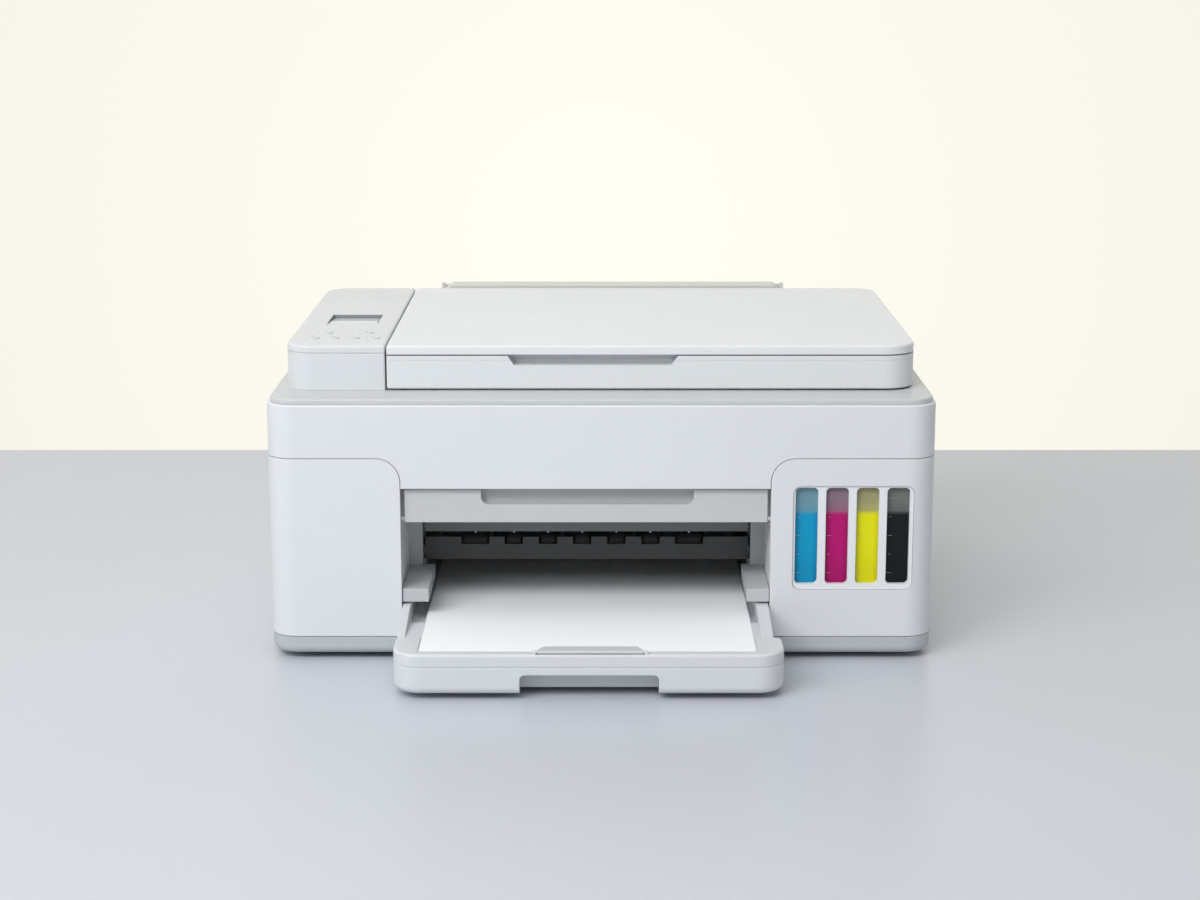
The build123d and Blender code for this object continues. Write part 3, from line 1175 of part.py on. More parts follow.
# Rear paper support: a flap with bevelled ends that closes the rear feed
SUPPORT_BEVEL = 6.0
with BuildPart() as rear_support:
    inner_x0 = FEED_X0 + FEED_WALL + SUPPORT_GAP
    inner_x1 = FEED_X1 - FEED_WALL - SUPPORT_GAP
    with BuildSketch(Plane.XZ.offset(-at(FEED_D1))):
        with BuildLine():
            Polyline(
                (inner_x0, FRAME_TOP + SUPPORT_GAP),
                (inner_x1, FRAME_TOP + SUPPORT_GAP),
                (inner_x1 - SUPPORT_BEVEL, SUPPORT_TOP),
                (inner_x0 + SUPPORT_BEVEL, SUPPORT_TOP),
                close=True,
            )
        make_face()
    extrude(amount=FEED_D1 - FEED_D0)
    with BuildSketch(Plane.YZ.offset(inner_x0 - FEED_WALL)):
        with Locations((at(SUPPORT_HINGE_D), SUPPORT_HINGE_Z)):
            Circle(SUPPORT_STUD_R)
    extrude(amount=inner_x1 - inner_x0 + 2 * FEED_WALL)
save(rear_support, "rear_support")

# Output flap under the apron, with a finger pocket moulded into its top edge
FLAP_X0 = -127.7
FLAP_X1 = 107.9
FLAP_Z0 = 92.0
FLAP_Z1 = 114.0
FLAP_D0 = 3.6
FLAP_T = 2.4
FLAP_POCKET_X0 = -78.0
FLAP_POCKET_X1 = 60.0
FLAP_POCKET_Z0 = 104.0
FLAP_POCKET_D = 6.0
FLAP_POCKET_R = 5.0
FLAP_BARREL_R = 2.4


def pocket_outline(grow):
    """Open-topped outline of the finger pocket, grown by its wall on the outside."""
    with BuildLine() as outline:
        FilletPolyline(
            (FLAP_POCKET_X0 - grow, FLAP_Z1 + 8),
            (FLAP_POCKET_X0 - grow, FLAP_POCKET_Z0 - grow),
            (FLAP_POCKET_X1 + grow, FLAP_POCKET_Z0 - grow),
            (FLAP_POCKET_X1 + grow, FLAP_Z1 + 8),
            radius=FLAP_POCKET_R + grow,
        )
        Line((FLAP_POCKET_X1 + grow, FLAP_Z1 + 8), (FLAP_POCKET_X0 - grow, FLAP_Z1 + 8))
    make_face(outline.edges())


with BuildPart() as output_flap:
    block(FLAP_X0, FLAP_X1, FLAP_D0, FLAP_D0 + FLAP_T, FLAP_Z0, FLAP_Z1)
    with BuildSketch(Plane.XZ.offset(-at(FLAP_D0 + FLAP_POCKET_D + 2))):
        pocket_outline(1.8)
    extrude(amount=FLAP_POCKET_D + 1)
    with BuildSketch(Plane.XZ.offset(-at(FLAP_D0 + FLAP_POCKET_D))):
        pocket_outline(0)
    extrude(amount=FLAP_POCKET_D + 1, mode=Mode.SUBTRACT)
    block(FLAP_X0, FLAP_X1, FLAP_D0 - 2, FLAP_D0 + FLAP_POCKET_D + 3, FLAP_Z1, FLAP_Z1 + 12,
          mode=Mode.SUBTRACT)
    with BuildSketch(Plane.YZ.offset(FLAP_X0)):
        with Locations((at(FLAP_HINGE_D), FLAP_HINGE_Z)):
            Circle(FLAP_BARREL_R)
    extrude(amount=FLAP_X1 - FLAP_X0)
    pin_x0 = BAY_L - FLAP_PIN_REACH + 0.2
    pin_x1 = BAY_R + FLAP_PIN_REACH - 0.2
    with BuildSketch(Plane.YZ.offset(pin_x0)):
        with Locations((at(FLAP_HINGE_D), FLAP_HINGE_Z)):
            Circle(FLAP_PIN_R)
    extrude(amount=pin_x1 - pin_x0)
save(output_flap, "output_flap")

# Paper cassette: the bumper stays in front of the body, the box behind it runs in the channel
BUMPER_X0 = -130.1
BUMPER_X1 = 114.3
BUMPER_D0 = -TRAY_REACH
BUMPER_D1 = -47.5
BUMPER_R = 17.0
BUMPER_BACK_R = 5.0
BUMPER_EDGE_R = 7.0
TRAY_SPLIT = 21.6
TRAY_TOP = 29.9
TRAY_SEAM = 0.4
BOX_X0 = BAY_L + 0.8
BOX_X1 = BAY_R - 0.8
BOX_D1 = 278.0
BOX_Z0 = FLOOR_TOP + RUN_GAP
BOX_WALL = 2.0
TRAY_GRIP_X0 = -50.8
TRAY_GRIP_X1 = 35.8
TRAY_GRIP_TOP = 16.6
TRAY_GRIP_D = 16.0
TRAY_GRIP_R = 3.5
BUMPER_WALL = 2.5


def bumper_outline(sketch, inset=0.0):
    """The bumper's rounded outline in plan."""
    plan_rect(BUMPER_X0, BUMPER_X1, BUMPER_D0, BUMPER_D1)
    round_at(sketch, BUMPER_X0, BUMPER_D0, BUMPER_R)
    round_at(sketch, BUMPER_X1, BUMPER_D0, BUMPER_R)
    round_at(sketch, BUMPER_X0, BUMPER_D1, BUMPER_BACK_R)
    round_at(sketch, BUMPER_X1, BUMPER_D1, BUMPER_BACK_R)
    if inset:
        offset(amount=-inset)


with BuildPart() as cassette_base:
    with BuildSketch(Plane.XY.offset(FOOT_H)) as bumper_plan:
        bumper_outline(bumper_plan)
    extrude(amount=TRAY_SPLIT - FOOT_H)
    fillet(cassette_base.faces().sort_by(Axis.Z)[0].edges(), BUMPER_EDGE_R * 0.66)
    block(BOX_X0, BOX_X1, BUMPER_D1 - 1, BOX_D1, BOX_Z0, TRAY_SPLIT)
    chamfer(cassette_base.faces().sort_by(Axis.Z)[-1].outer_wire().edges(), TRAY_SEAM)
    block(BOX_X0 + BOX_WALL, BOX_X1 - BOX_WALL, BUMPER_D0 + TRAY_GRIP_D + BUMPER_WALL + 4, BOX_D1 - BOX_WALL,
          BOX_Z0 + BOX_WALL, TRAY_SPLIT, mode=Mode.SUBTRACT)
    with BuildSketch(Plane.XZ.offset(-at(BUMPER_D0 + TRAY_GRIP_D))) as tray_grip:
        with Locations(((TRAY_GRIP_X0 + TRAY_GRIP_X1) / 2, TRAY_GRIP_TOP)):
            Rectangle(TRAY_GRIP_X1 - TRAY_GRIP_X0, TRAY_GRIP_TOP, align=(Align.CENTER, Align.MAX))
        fillet(tray_grip.vertices().group_by(Axis.Y)[-1], TRAY_GRIP_R)
    extrude(amount=TRAY_GRIP_D + 1, mode=Mode.SUBTRACT)
save(cassette_base, "cassette_base")

# Paper sheet on the output tray
SHEET_W = 210.0
SHEET_L = 297.0
SHEET_T = 0.5
SHEET_X0 = -113.6
SHEET_D0 = -78.2
SHEET_Z0 = TRAY_TOP - SHEET_T

# Paper stop sizes, shared with the ears on the tray's rim
STOP_X0 = -40.0
STOP_X1 = 26.4
STOP_TAPER = 4.0
STOP_D = -83.4
STOP_D1 = -72.8
STOP_T = 1.2
STOP_Z = TRAY_TOP + RUN_GAP + STOP_T / 2
STOP_BARREL_R = 0.9
STOP_PIN_R = 0.6
STOP_EAR_W = 2.0
STOP_EAR_R = 1.3

# Output tray: the cassette's cover, sunk under the sheet, with side walls that rise into the bay
PLATE_T = 2.4
TRAY_D1 = 225.0
SINK_MARGIN = 0.8
SIDE_WALL_L = 5.0
SIDE_WALL_R = 8.0
SIDE_TOP = 37.4
SIDE_D1 = 55.0
SIDE_RAMP_D0 = BUMPER_D1
SIDE_RAMP_D1 = -4.0
POCKET_DEPTH = 7.0
POCKET_D_FRONT = -14.0
with BuildPart() as output_tray:
    with BuildSketch(Plane.XY.offset(TRAY_SPLIT)) as tray_plan:
        bumper_outline(tray_plan)
    extrude(amount=TRAY_TOP - TRAY_SPLIT)
    fillet(output_tray.faces().sort_by(Axis.Z)[-1].edges(), 1.6)
    block(BOX_X0, BOX_X1, BUMPER_D1 - 3, TRAY_D1, TRAY_SPLIT, SHEET_Z0)
    chamfer(output_tray.faces().sort_by(Axis.Z)[0].outer_wire().edges(), TRAY_SEAM)
    for side_x, side_w, side in ((BOX_X0, SIDE_WALL_L, 1), (BOX_X1, SIDE_WALL_R, -1)):
        with BuildSketch(Plane.YZ.offset(side_x)):
            with BuildLine():
                Polyline(
                    (at(SIDE_RAMP_D0 - 2), SHEET_Z0),
                    (at(SIDE_D1), SHEET_Z0),
                    (at(SIDE_D1), SIDE_TOP),
                    (at(SIDE_RAMP_D1), SIDE_TOP),
                    close=True,
                )
            make_face()
        extrude(amount=side * side_w)
    block(BOX_X0 + SIDE_WALL_L, SHEET_X0 - SINK_MARGIN, POCKET_D_FRONT, SIDE_D1,
          SHEET_Z0 - POCKET_DEPTH + PLATE_T, SHEET_Z0 + 1, mode=Mode.SUBTRACT)
    block(SHEET_X0 + SHEET_W + SINK_MARGIN, BOX_X1 - SIDE_WALL_R, POCKET_D_FRONT, SIDE_D1,
          SHEET_Z0 - POCKET_DEPTH + PLATE_T, SHEET_Z0 + 1, mode=Mode.SUBTRACT)
    block(SHEET_X0 - SINK_MARGIN, SHEET_X0 + SHEET_W + SINK_MARGIN, SHEET_D0 - SINK_MARGIN, TRAY_D1,
          SHEET_Z0, TRAY_TOP + 1, mode=Mode.SUBTRACT)
    block(SHEET_X0 + 4, SHEET_X0 + SHEET_W - 4, BUMPER_D1 - 22, TRAY_D1 + 1,
          TRAY_SPLIT, SHEET_Z0 - PLATE_T, mode=Mode.SUBTRACT)
    block(STOP_X0 - SLIDE_GAP, STOP_X1 + SLIDE_GAP, STOP_D - 2, SHEET_D0 - SINK_MARGIN + 0.1,
          STOP_Z - STOP_BARREL_R - RUN_GAP, TRAY_TOP + 1, mode=Mode.SUBTRACT)
    for ear_x in (STOP_X0 - SLIDE_GAP - STOP_EAR_W, STOP_X1 + SLIDE_GAP):
        with BuildSketch(Plane.YZ.offset(ear_x)):
            with Locations((at(STOP_D), STOP_Z)):
                Circle(STOP_EAR_R)
                Rectangle(2 * STOP_EAR_R, STOP_Z - TRAY_TOP + 1, align=(Align.CENTER, Align.MAX))
                Circle(STOP_PIN_R + PIN_GAP, mode=Mode.SUBTRACT)
        extrude(amount=STOP_EAR_W)
save(output_tray, "output_tray")

with BuildPart() as paper_sheet:
    block(SHEET_X0, SHEET_X0 + SHEET_W, SHEET_D0, SHEET_D0 + SHEET_L, SHEET_Z0, SHEET_Z0 + SHEET_T)
save(paper_sheet, "paper_sheet")

# Paper stop: a grey tab hinged on the bumper's rim that lies over the sheet's front edge
with BuildPart() as paper_stop:
    with BuildSketch(Plane.XY.offset(STOP_Z - STOP_T / 2)):
        with BuildLine():
            Polyline(
                (STOP_X0, at(STOP_D)),
                (STOP_X1, at(STOP_D)),
                (STOP_X1, at(STOP_D + 2.5)),
                (STOP_X1 - STOP_TAPER, at(STOP_D1)),
                (STOP_X0 + STOP_TAPER, at(STOP_D1)),
                (STOP_X0, at(STOP_D + 2.5)),
                close=True,
            )
        make_face()
    extrude(amount=STOP_T)
    with BuildSketch(Plane.YZ.offset(STOP_X0)):
        with Locations((at(STOP_D), STOP_Z)):
            Circle(STOP_BARREL_R)
    extrude(amount=STOP_X1 - STOP_X0)
    pin_over = SLIDE_GAP + STOP_EAR_W - 0.3
    with BuildSketch(Plane.YZ.offset(STOP_X0 - pin_over)):
        with Locations((at(STOP_D), STOP_Z)):
            Circle(STOP_PIN_R)
    extrude(amount=STOP_X1 - STOP_X0 + 2 * pin_over)
save(paper_stop, "paper_stop")
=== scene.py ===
# %% [markdown]
# # A multifunction printer, dressed over its frame
# The frame holds every rigid part of the printer in its right place: covers, deck, scanner, lid, tray, tanks
# and mechanism. This lesson gives each of them its finish, adds the small things that a solid model leaves
# out, and sets up a plain studio. Everything is in metres: X runs to the right, Y to the back and Z up.

# %% Load the frame
import math

import bmesh
import bpy
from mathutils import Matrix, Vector


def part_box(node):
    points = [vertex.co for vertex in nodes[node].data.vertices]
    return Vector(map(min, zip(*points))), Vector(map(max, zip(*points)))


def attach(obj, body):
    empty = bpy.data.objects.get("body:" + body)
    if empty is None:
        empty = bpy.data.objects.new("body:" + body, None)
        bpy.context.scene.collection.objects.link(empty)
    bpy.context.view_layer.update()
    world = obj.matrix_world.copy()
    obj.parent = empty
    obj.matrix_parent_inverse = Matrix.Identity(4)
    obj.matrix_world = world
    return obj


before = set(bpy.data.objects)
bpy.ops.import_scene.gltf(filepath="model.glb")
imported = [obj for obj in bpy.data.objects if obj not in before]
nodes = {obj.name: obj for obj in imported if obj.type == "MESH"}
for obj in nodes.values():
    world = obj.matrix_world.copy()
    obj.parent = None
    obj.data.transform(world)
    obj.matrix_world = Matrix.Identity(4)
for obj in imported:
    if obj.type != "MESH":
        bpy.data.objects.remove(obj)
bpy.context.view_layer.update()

# %% [markdown]
# ## Colours and node helpers
# Plastic colours are easiest to judge as the 0 to 255 values of a screen, but a shader wants linear light.
# One small function turns the first into the second, so each finish below can be read off a colour card.

# %% Colour and node helpers
def tone(red, green, blue):
    """A screen colour from 0 to 255 as linear light."""
    def linear(value):
        value = value / 255
        return value / 12.92 if value <= 0.04045 else ((value + 0.055) / 1.055) ** 2.4
    return (linear(red), linear(green), linear(blue), 1.0)


def add(tree, kind, **settings):
    """A new shader or geometry node with its settings; plain values go to the sockets of that name."""
    node = tree.nodes.new(kind)
    for key, value in settings.items():
        if hasattr(node, key):
            setattr(node, key, value)
        else:
            node.inputs[key.replace("_", " ")].default_value = value
    return node


def wire(tree, start, out, end, into):
    tree.links.new(start.outputs[out], end.inputs[into])


def new_group(name, inputs, outputs):
    """A shader node group with named number inputs and outputs."""
    group = bpy.data.node_groups.new(name, "ShaderNodeTree")
    for label, value in inputs:
        socket = group.interface.new_socket(label, in_out="INPUT", socket_type="NodeSocketFloat")
        socket.default_value = value
    for label, kind in outputs:
        group.interface.new_socket(label, in_out="OUTPUT", socket_type=kind)
    return group, group.nodes.new("NodeGroupInput"), group.nodes.new("NodeGroupOutput")


print("white plastic in linear light:", [round(v, 3) for v in tone(226, 229, 232)[:3]])

# %% [markdown]
# ## Moulded grain
# Housings like these come out of a spark-eroded steel mould, which leaves a very fine, even grain and slow
# waves where the plastic shrank. A fine Noise texture is the grain and a coarse one the waves. Both become
# a height for the Bump node, and the same waves shift the gloss a little. It is a group because nearly
# every plastic here has it, each with its own grain size.

# %% The moulded grain group
grain_group, g_in, g_out = new_group(
    "Moulded grain",
    [("Grain per metre", 2600.0), ("Wave", 0.35)],
    [("Height", "NodeSocketFloat"), ("Mottle", "NodeSocketFloat")],
)
coords = add(grain_group, "ShaderNodeTexCoord")
fine = add(grain_group, "ShaderNodeTexNoise", Detail=2.0, Roughness=0.6)
slow = add(grain_group, "ShaderNodeTexNoise", Scale=14.0, Detail=3.0, Roughness=0.5)
mix_height = add(grain_group, "ShaderNodeMath", operation="MULTIPLY_ADD")
wire(grain_group, coords, "Object", fine, "Vector")
wire(grain_group, coords, "Object", slow, "Vector")
wire(grain_group, g_in, "Grain per metre", fine, "Scale")
grain_group.links.new(slow.outputs["Fac"], mix_height.inputs[0])
grain_group.links.new(g_in.outputs["Wave"], mix_height.inputs[1])
grain_group.links.new(fine.outputs["Fac"], mix_height.inputs[2])
grain_group.links.new(mix_height.outputs[0], g_out.inputs["Height"])
grain_group.links.new(slow.outputs["Fac"], g_out.inputs["Mottle"])
print("grain group nodes:", len(grain_group.nodes))

# %% [markdown]
# ## Soft edges, wear and painted edge highlight
# No moulded edge is sharp: it has a radius of a few tenths of a millimetre that catches the light, and hands
# polish it. The Bevel node looks round each edge and gives a rounded normal without touching the mesh, so
# the frame's parts stay as they are. Where that normal leaves the true one there is an edge, which makes a
# mask at no extra cost: lightening the colour there stands for rubbed wear and is also a painted edge
# highlight.

# %% The edge group
# The Wear input scales the edge mask, which stands for rubbed wear and a painted edge highlight.
edge_group, e_in, e_out = new_group(
    "Soft edge",
    [("Radius", 0.0006), ("Wear", 1.0)],
    [("Normal", "NodeSocketVector"), ("Edge", "NodeSocketFloat")],
)
round_edge = add(edge_group, "ShaderNodeBevel", samples=4)
true_face = add(edge_group, "ShaderNodeNewGeometry")
facing = add(edge_group, "ShaderNodeVectorMath", operation="DOT_PRODUCT")
turned = add(edge_group, "ShaderNodeMath", operation="SUBTRACT")
patch_coords = add(edge_group, "ShaderNodeTexCoord")
patches = add(edge_group, "ShaderNodeTexNoise", Scale=90.0, Detail=3.0)
patchy = add(edge_group, "ShaderNodeMath", operation="MULTIPLY")
amount = add(edge_group, "ShaderNodeMath", operation="MULTIPLY", use_clamp=True)
wire(edge_group, e_in, "Radius", round_edge, "Radius")
edge_group.links.new(round_edge.outputs[0], facing.inputs[0])
edge_group.links.new(true_face.outputs["Normal"], facing.inputs[1])
turned.inputs[0].default_value = 1.0
edge_group.links.new(facing.outputs["Value"], turned.inputs[1])
wire(edge_group, patch_coords, "Object", patches, "Vector")
edge_group.links.new(turned.outputs[0], patchy.inputs[0])
edge_group.links.new(patches.outputs["Fac"], patchy.inputs[1])
edge_group.links.new(patchy.outputs[0], amount.inputs[0])
edge_group.links.new(e_in.outputs["Wear"], amount.inputs[1])
edge_group.links.new(round_edge.outputs[0], e_out.inputs["Normal"])
edge_group.links.new(amount.outputs[0], e_out.inputs["Edge"])
print("edge group nodes:", len(edge_group.nodes))

# %% [markdown]
# ## Dust
# A printer on a desk gathers a thin film on whatever faces up. The group turns the face's own upward slope
# and a patchy noise into a mask that dulls the gloss and greys the colour by a hair.

# %% The dust group
dust_group, d_in, d_out = new_group("Desk dust", [("Amount", 0.4)], [("Dust", "NodeSocketFloat")])
dust_coords = add(dust_group, "ShaderNodeTexCoord")
dust_noise = add(dust_group, "ShaderNodeTexNoise", Scale=38.0, Detail=6.0, Roughness=0.65)
dust_face = add(dust_group, "ShaderNodeNewGeometry")
dust_split = add(dust_group, "ShaderNodeSeparateXYZ")
dust_up = add(dust_group, "ShaderNodeMath", operation="MULTIPLY", use_clamp=True)
dust_all = add(dust_group, "ShaderNodeMath", operation="MULTIPLY", use_clamp=True)
wire(dust_group, dust_coords, "Object", dust_noise, "Vector")
wire(dust_group, dust_face, "Normal", dust_split, "Vector")
dust_group.links.new(dust_split.outputs["Z"], dust_up.inputs[0])
dust_group.links.new(dust_noise.outputs["Fac"], dust_up.inputs[1])
dust_group.links.new(dust_up.outputs[0], dust_all.inputs[0])
dust_group.links.new(d_in.outputs["Amount"], dust_all.inputs[1])
dust_group.links.new(dust_all.outputs[0], d_out.inputs["Dust"])
print("dust group nodes:", len(dust_group.nodes))

# %% [markdown]
# ## One recipe for moulded plastic
# All the housings are the same kind of material with other numbers, so one function builds them: the edge
# mask lightens the colour, as rubbed wear and a painted edge highlight, the grain's mottle and the dust
# shift the roughness, and grain plus soft edge make the normal. What is the same all over, such as the
# sheen of the resin, is set on the shader itself.

# %% Plastic recipe
def group_node(tree, group, **values):
    node = tree.nodes.new("ShaderNodeGroup")
    node.node_tree = group
    for key, value in values.items():
        node.inputs[key.replace("_", " ")].default_value = value
    return node


def bare_material(name):
    material = bpy.data.materials.new(name)
    material.use_nodes = True
    tree = material.node_tree
    return material, tree, tree.nodes["Principled BSDF"]


def mix_colour(tree, factor, first, second):
    """A colour mix: factor is a (node, output) pair, first and second are colours or pairs."""
    mix = tree.nodes.new("ShaderNodeMix")
    mix.data_type = "RGBA"
    tree.links.new(factor[0].outputs[factor[1]], mix.inputs["Factor"])
    for value, socket in ((first, mix.inputs[6]), (second, mix.inputs[7])):
        if isinstance(value[0], bpy.types.Node):
            tree.links.new(value[0].outputs[value[1]], socket)
        else:
            socket.default_value = value
    return mix


def map_value(tree, source, low, high, from_low=0.0, from_high=1.0):
    span = add(tree, "ShaderNodeMapRange")
    tree.links.new(source[0].outputs[source[1]], span.inputs["Value"])
    span.inputs["From Min"].default_value = from_low
    span.inputs["From Max"].default_value = from_high
    span.inputs["To Min"].default_value = low
    span.inputs["To Max"].default_value = high
    return span


def plastic(name, colour, gloss=(0.42, 0.5), grain=2600.0, depth=0.00003, radius=0.0006,
            wear_and_highlight=0.5, worn_and_lit_edge=None, dust=0.35, strength=0.35):
    """Moulded plastic: gloss is the range of roughness, worn_and_lit_edge the colour of its edges, which
    stands for rubbed wear and a painted edge highlight.
    """
    material, tree, shader = bare_material(name)
    grain_node = group_node(tree, grain_group, Grain_per_metre=grain)
    edge_node = group_node(tree, edge_group, Radius=radius, Wear=wear_and_highlight)
    dust_node = group_node(tree, dust_group, Amount=dust)
    # Edge colour, lighter than the face: rubbed wear and a painted edge highlight.
    edge_wear_and_highlight = worn_and_lit_edge or tuple(min(1.0, c * 1.1 + 0.02) for c in colour[:3]) + (1.0,)
    greyer = tuple(c * 0.93 + 0.01 for c in colour[:3]) + (1.0,)
    slow_tint = tuple(c * 0.975 for c in colour[:3]) + (1.0,)
    base = mix_colour(tree, (grain_node, "Mottle"), colour, slow_tint)
    dusty = mix_colour(tree, (dust_node, "Dust"), (base, 2), greyer)
    wear_and_highlight_mix = mix_colour(tree, (edge_node, "Edge"), (dusty, 2), edge_wear_and_highlight)
    tree.links.new(wear_and_highlight_mix.outputs[2], shader.inputs["Base Color"])
    rough = map_value(tree, (grain_node, "Mottle"), gloss[0], gloss[1], 0.3, 0.7)
    dull = add(tree, "ShaderNodeMath", operation="MULTIPLY_ADD", use_clamp=True)
    tree.links.new(dust_node.outputs["Dust"], dull.inputs[0])
    dull.inputs[1].default_value = 0.18
    tree.links.new(rough.outputs[0], dull.inputs[2])
    tree.links.new(dull.outputs[0], shader.inputs["Roughness"])
    bump = add(tree, "ShaderNodeBump", Strength=strength, Distance=depth)
    tree.links.new(grain_node.outputs["Height"], bump.inputs["Height"])
    tree.links.new(edge_node.outputs["Normal"], bump.inputs["Normal"])
    tree.links.new(bump.outputs[0], shader.inputs["Normal"])
    shader.inputs["IOR"].default_value = 1.49
    return material


def dress(material, *names):
    """The material goes on these parts of the frame, on whatever slots they have."""
    for name in names:
        mesh = nodes[name].data
        if not mesh.materials:
            mesh.materials.append(material)
        for place in range(len(mesh.materials)):
            mesh.materials[place] = material


# %% [markdown]
# ## The housings
# The printer is one cool white in several mouldings. The lid and pod look lighter only because they face
# up, so they share the body's colour closely. The deck under the scanner is a step greyer and satin, and
# the band round the foot is greyer again. The flap over the bay is greyer too: painted shade from the
# housing edge that overhangs it.

# %% Housing finishes
body_white = plastic("Body white", tone(221, 225, 228))
lid_white = plastic("Lid white", tone(226, 230, 233), gloss=(0.36, 0.44), radius=0.0009, dust=0.5)
pod_white = plastic("Pod white", tone(216, 220, 223), gloss=(0.34, 0.42), radius=0.0011, dust=0.4)
deck_grey = plastic("Deck grey", tone(198, 202, 205), gloss=(0.3, 0.38), radius=0.0012, dust=0.4)
band_grey = plastic("Foot band grey", tone(184, 190, 193), gloss=(0.42, 0.5))
# Painted shade: this grey stands for the shade under the housing's lower edge, which overhangs the flap.
flap_shaded_grey = plastic("Flap grey, painted shade", tone(195, 199, 201), gloss=(0.36, 0.44), radius=0.0008)
liner_grey = plastic("Bay liner grey", tone(190, 194, 197), gloss=(0.4, 0.5))
tray_white = plastic("Tray white", tone(214, 218, 222), gloss=(0.36, 0.44), radius=0.0011)
# Painted shade: the stop is a little greyer than the tray to stand for the shade on its forward-facing
# front.
stop_shaded_grey = plastic("Paper stop grey, painted shade", tone(205, 208, 211), gloss=(0.34, 0.42), radius=0.0004)
bezel_white = plastic("Window bezel white", tone(232, 235, 238), gloss=(0.28, 0.34), radius=0.0005)
support_grey = plastic("Rear support grey", tone(213, 213, 208), gloss=(0.42, 0.52))
strip_grey = plastic("Exit strip grey", tone(120, 124, 126), gloss=(0.38, 0.46), wear_and_highlight=0.2)
guide_dark = plastic("Guide charcoal", tone(58, 60, 62), gloss=(0.4, 0.5), wear_and_highlight=0.25,
                     worn_and_lit_edge=tone(96, 98, 100))
inner_dark = plastic("Inner black", tone(38, 39, 41), gloss=(0.45, 0.55), wear_and_highlight=0.3, worn_and_lit_edge=tone(78, 80, 82))
pulley_cream = plastic("Pulley acetal", tone(226, 222, 208), gloss=(0.28, 0.34), grain=900.0)

dress(body_white, "left_cover", "right_cover", "rear_panel", "upper_housing", "scanner_body",
      "scanner_bezel", "scanner_hinges")
dress(lid_white, "lid")
dress(pod_white, "control_pod", "pod_cap", "power_button", "copy_button", "stop_button", "start_button",
      "minus_button", "plus_button")
dress(deck_grey, "deck")
dress(band_grey, "base_tray")
dress(flap_shaded_grey, "output_flap")
dress(liner_grey, "bay_liner")
dress(tray_white, "cassette_base", "output_tray")
dress(stop_shaded_grey, "paper_stop")
dress(bezel_white, "tank_bezel")
dress(support_grey, "rear_support", "rear_feed_frame")
dress(strip_grey, "star_wheel_holder")
dress(guide_dark, "exit_guide", "platen", "print_heads")
dress(inner_dark, "turn_guide", "service_station", "print_carriage", "scan_carriage", "power_supply")
dress(pulley_cream, "drive_pulley")
print("plastics:", len([m for m in bpy.data.materials if m.use_nodes]))

# %% [markdown]
# ## Ink tanks
# Each tank is a clear shell that shows saturated ink up to its level and an empty, smoky band above. The
# ink's surface is what the eye reads, so the colour changes there over a tenth of a millimetre. The ink is
# painted darker toward the tank's rounded sides, following the distance from the tank's own middle, and
# toward its foot: this darkening is painted shade.

# %% Ink tank finish
INK_LEVEL = 0.0990
TANK_HALF = 0.0093
TANK_FOOT = 0.046
TANK_CLEAR = 0.075
STAIN_H = 0.0075


def tank_skin(name, middle, ink, ink_in_shade, empty):
    """A tank's look from its middle in X: ink, its rim and foot darkened by painted shade, and the empty
    band above the level.
    """
    material, tree, shader = bare_material(name)
    place = add(tree, "ShaderNodeTexCoord")
    split = add(tree, "ShaderNodeSeparateXYZ")
    wire(tree, place, "Object", split, "Vector")
    side = add(tree, "ShaderNodeMath", operation="SUBTRACT")
    tree.links.new(split.outputs["X"], side.inputs[0])
    side.inputs[1].default_value = middle
    off = add(tree, "ShaderNodeMath", operation="ABSOLUTE")
    tree.links.new(side.outputs[0], off.inputs[0])
    rim = map_value(tree, (off, 0), 0.0, 1.0, TANK_HALF * 0.45, TANK_HALF)
    low = map_value(tree, (split, "Z"), 0.45, 0.0, TANK_FOOT, TANK_CLEAR)
    shade = add(tree, "ShaderNodeMath", operation="ADD", use_clamp=True)
    tree.links.new(rim.outputs[0], shade.inputs[0])
    tree.links.new(low.outputs[0], shade.inputs[1])
    # Painted shade: the colour mixes toward ink_in_shade at the rounded sides and the foot.
    colour = mix_colour(tree, (shade, 0), ink, ink_in_shade)
    line = map_value(tree, (split, "Z"), 0.0, 0.4, INK_LEVEL - 0.0022, INK_LEVEL - 0.0004)
    colour = mix_colour(tree, (line, 0), (colour, 2), empty)
    above = map_value(tree, (split, "Z"), 0.0, 1.0, INK_LEVEL - 0.0001, INK_LEVEL + 0.0002)
    film = map_value(tree, (split, "Z"), 0.42, 0.0, INK_LEVEL, INK_LEVEL + STAIN_H)
    stained = mix_colour(tree, (film, 0), empty, tuple(0.55 * a + 0.45 * b for a, b in zip(ink, empty)))
    both = mix_colour(tree, (above, 0), (colour, 2), (stained, 2))
    tree.links.new(both.outputs[2], shader.inputs["Base Color"])
    grain_node = group_node(tree, grain_group, Grain_per_metre=700.0)
    rough = map_value(tree, (grain_node, "Mottle"), 0.1, 0.18, 0.3, 0.7)
    tree.links.new(rough.outputs[0], shader.inputs["Roughness"])
    bump = add(tree, "ShaderNodeBump", Strength=0.12, Distance=0.00002)
    tree.links.new(grain_node.outputs["Height"], bump.inputs["Height"])
    tree.links.new(bump.outputs[0], shader.inputs["Normal"])
    shader.inputs["Specular IOR Level"].default_value = 0.22
    return material


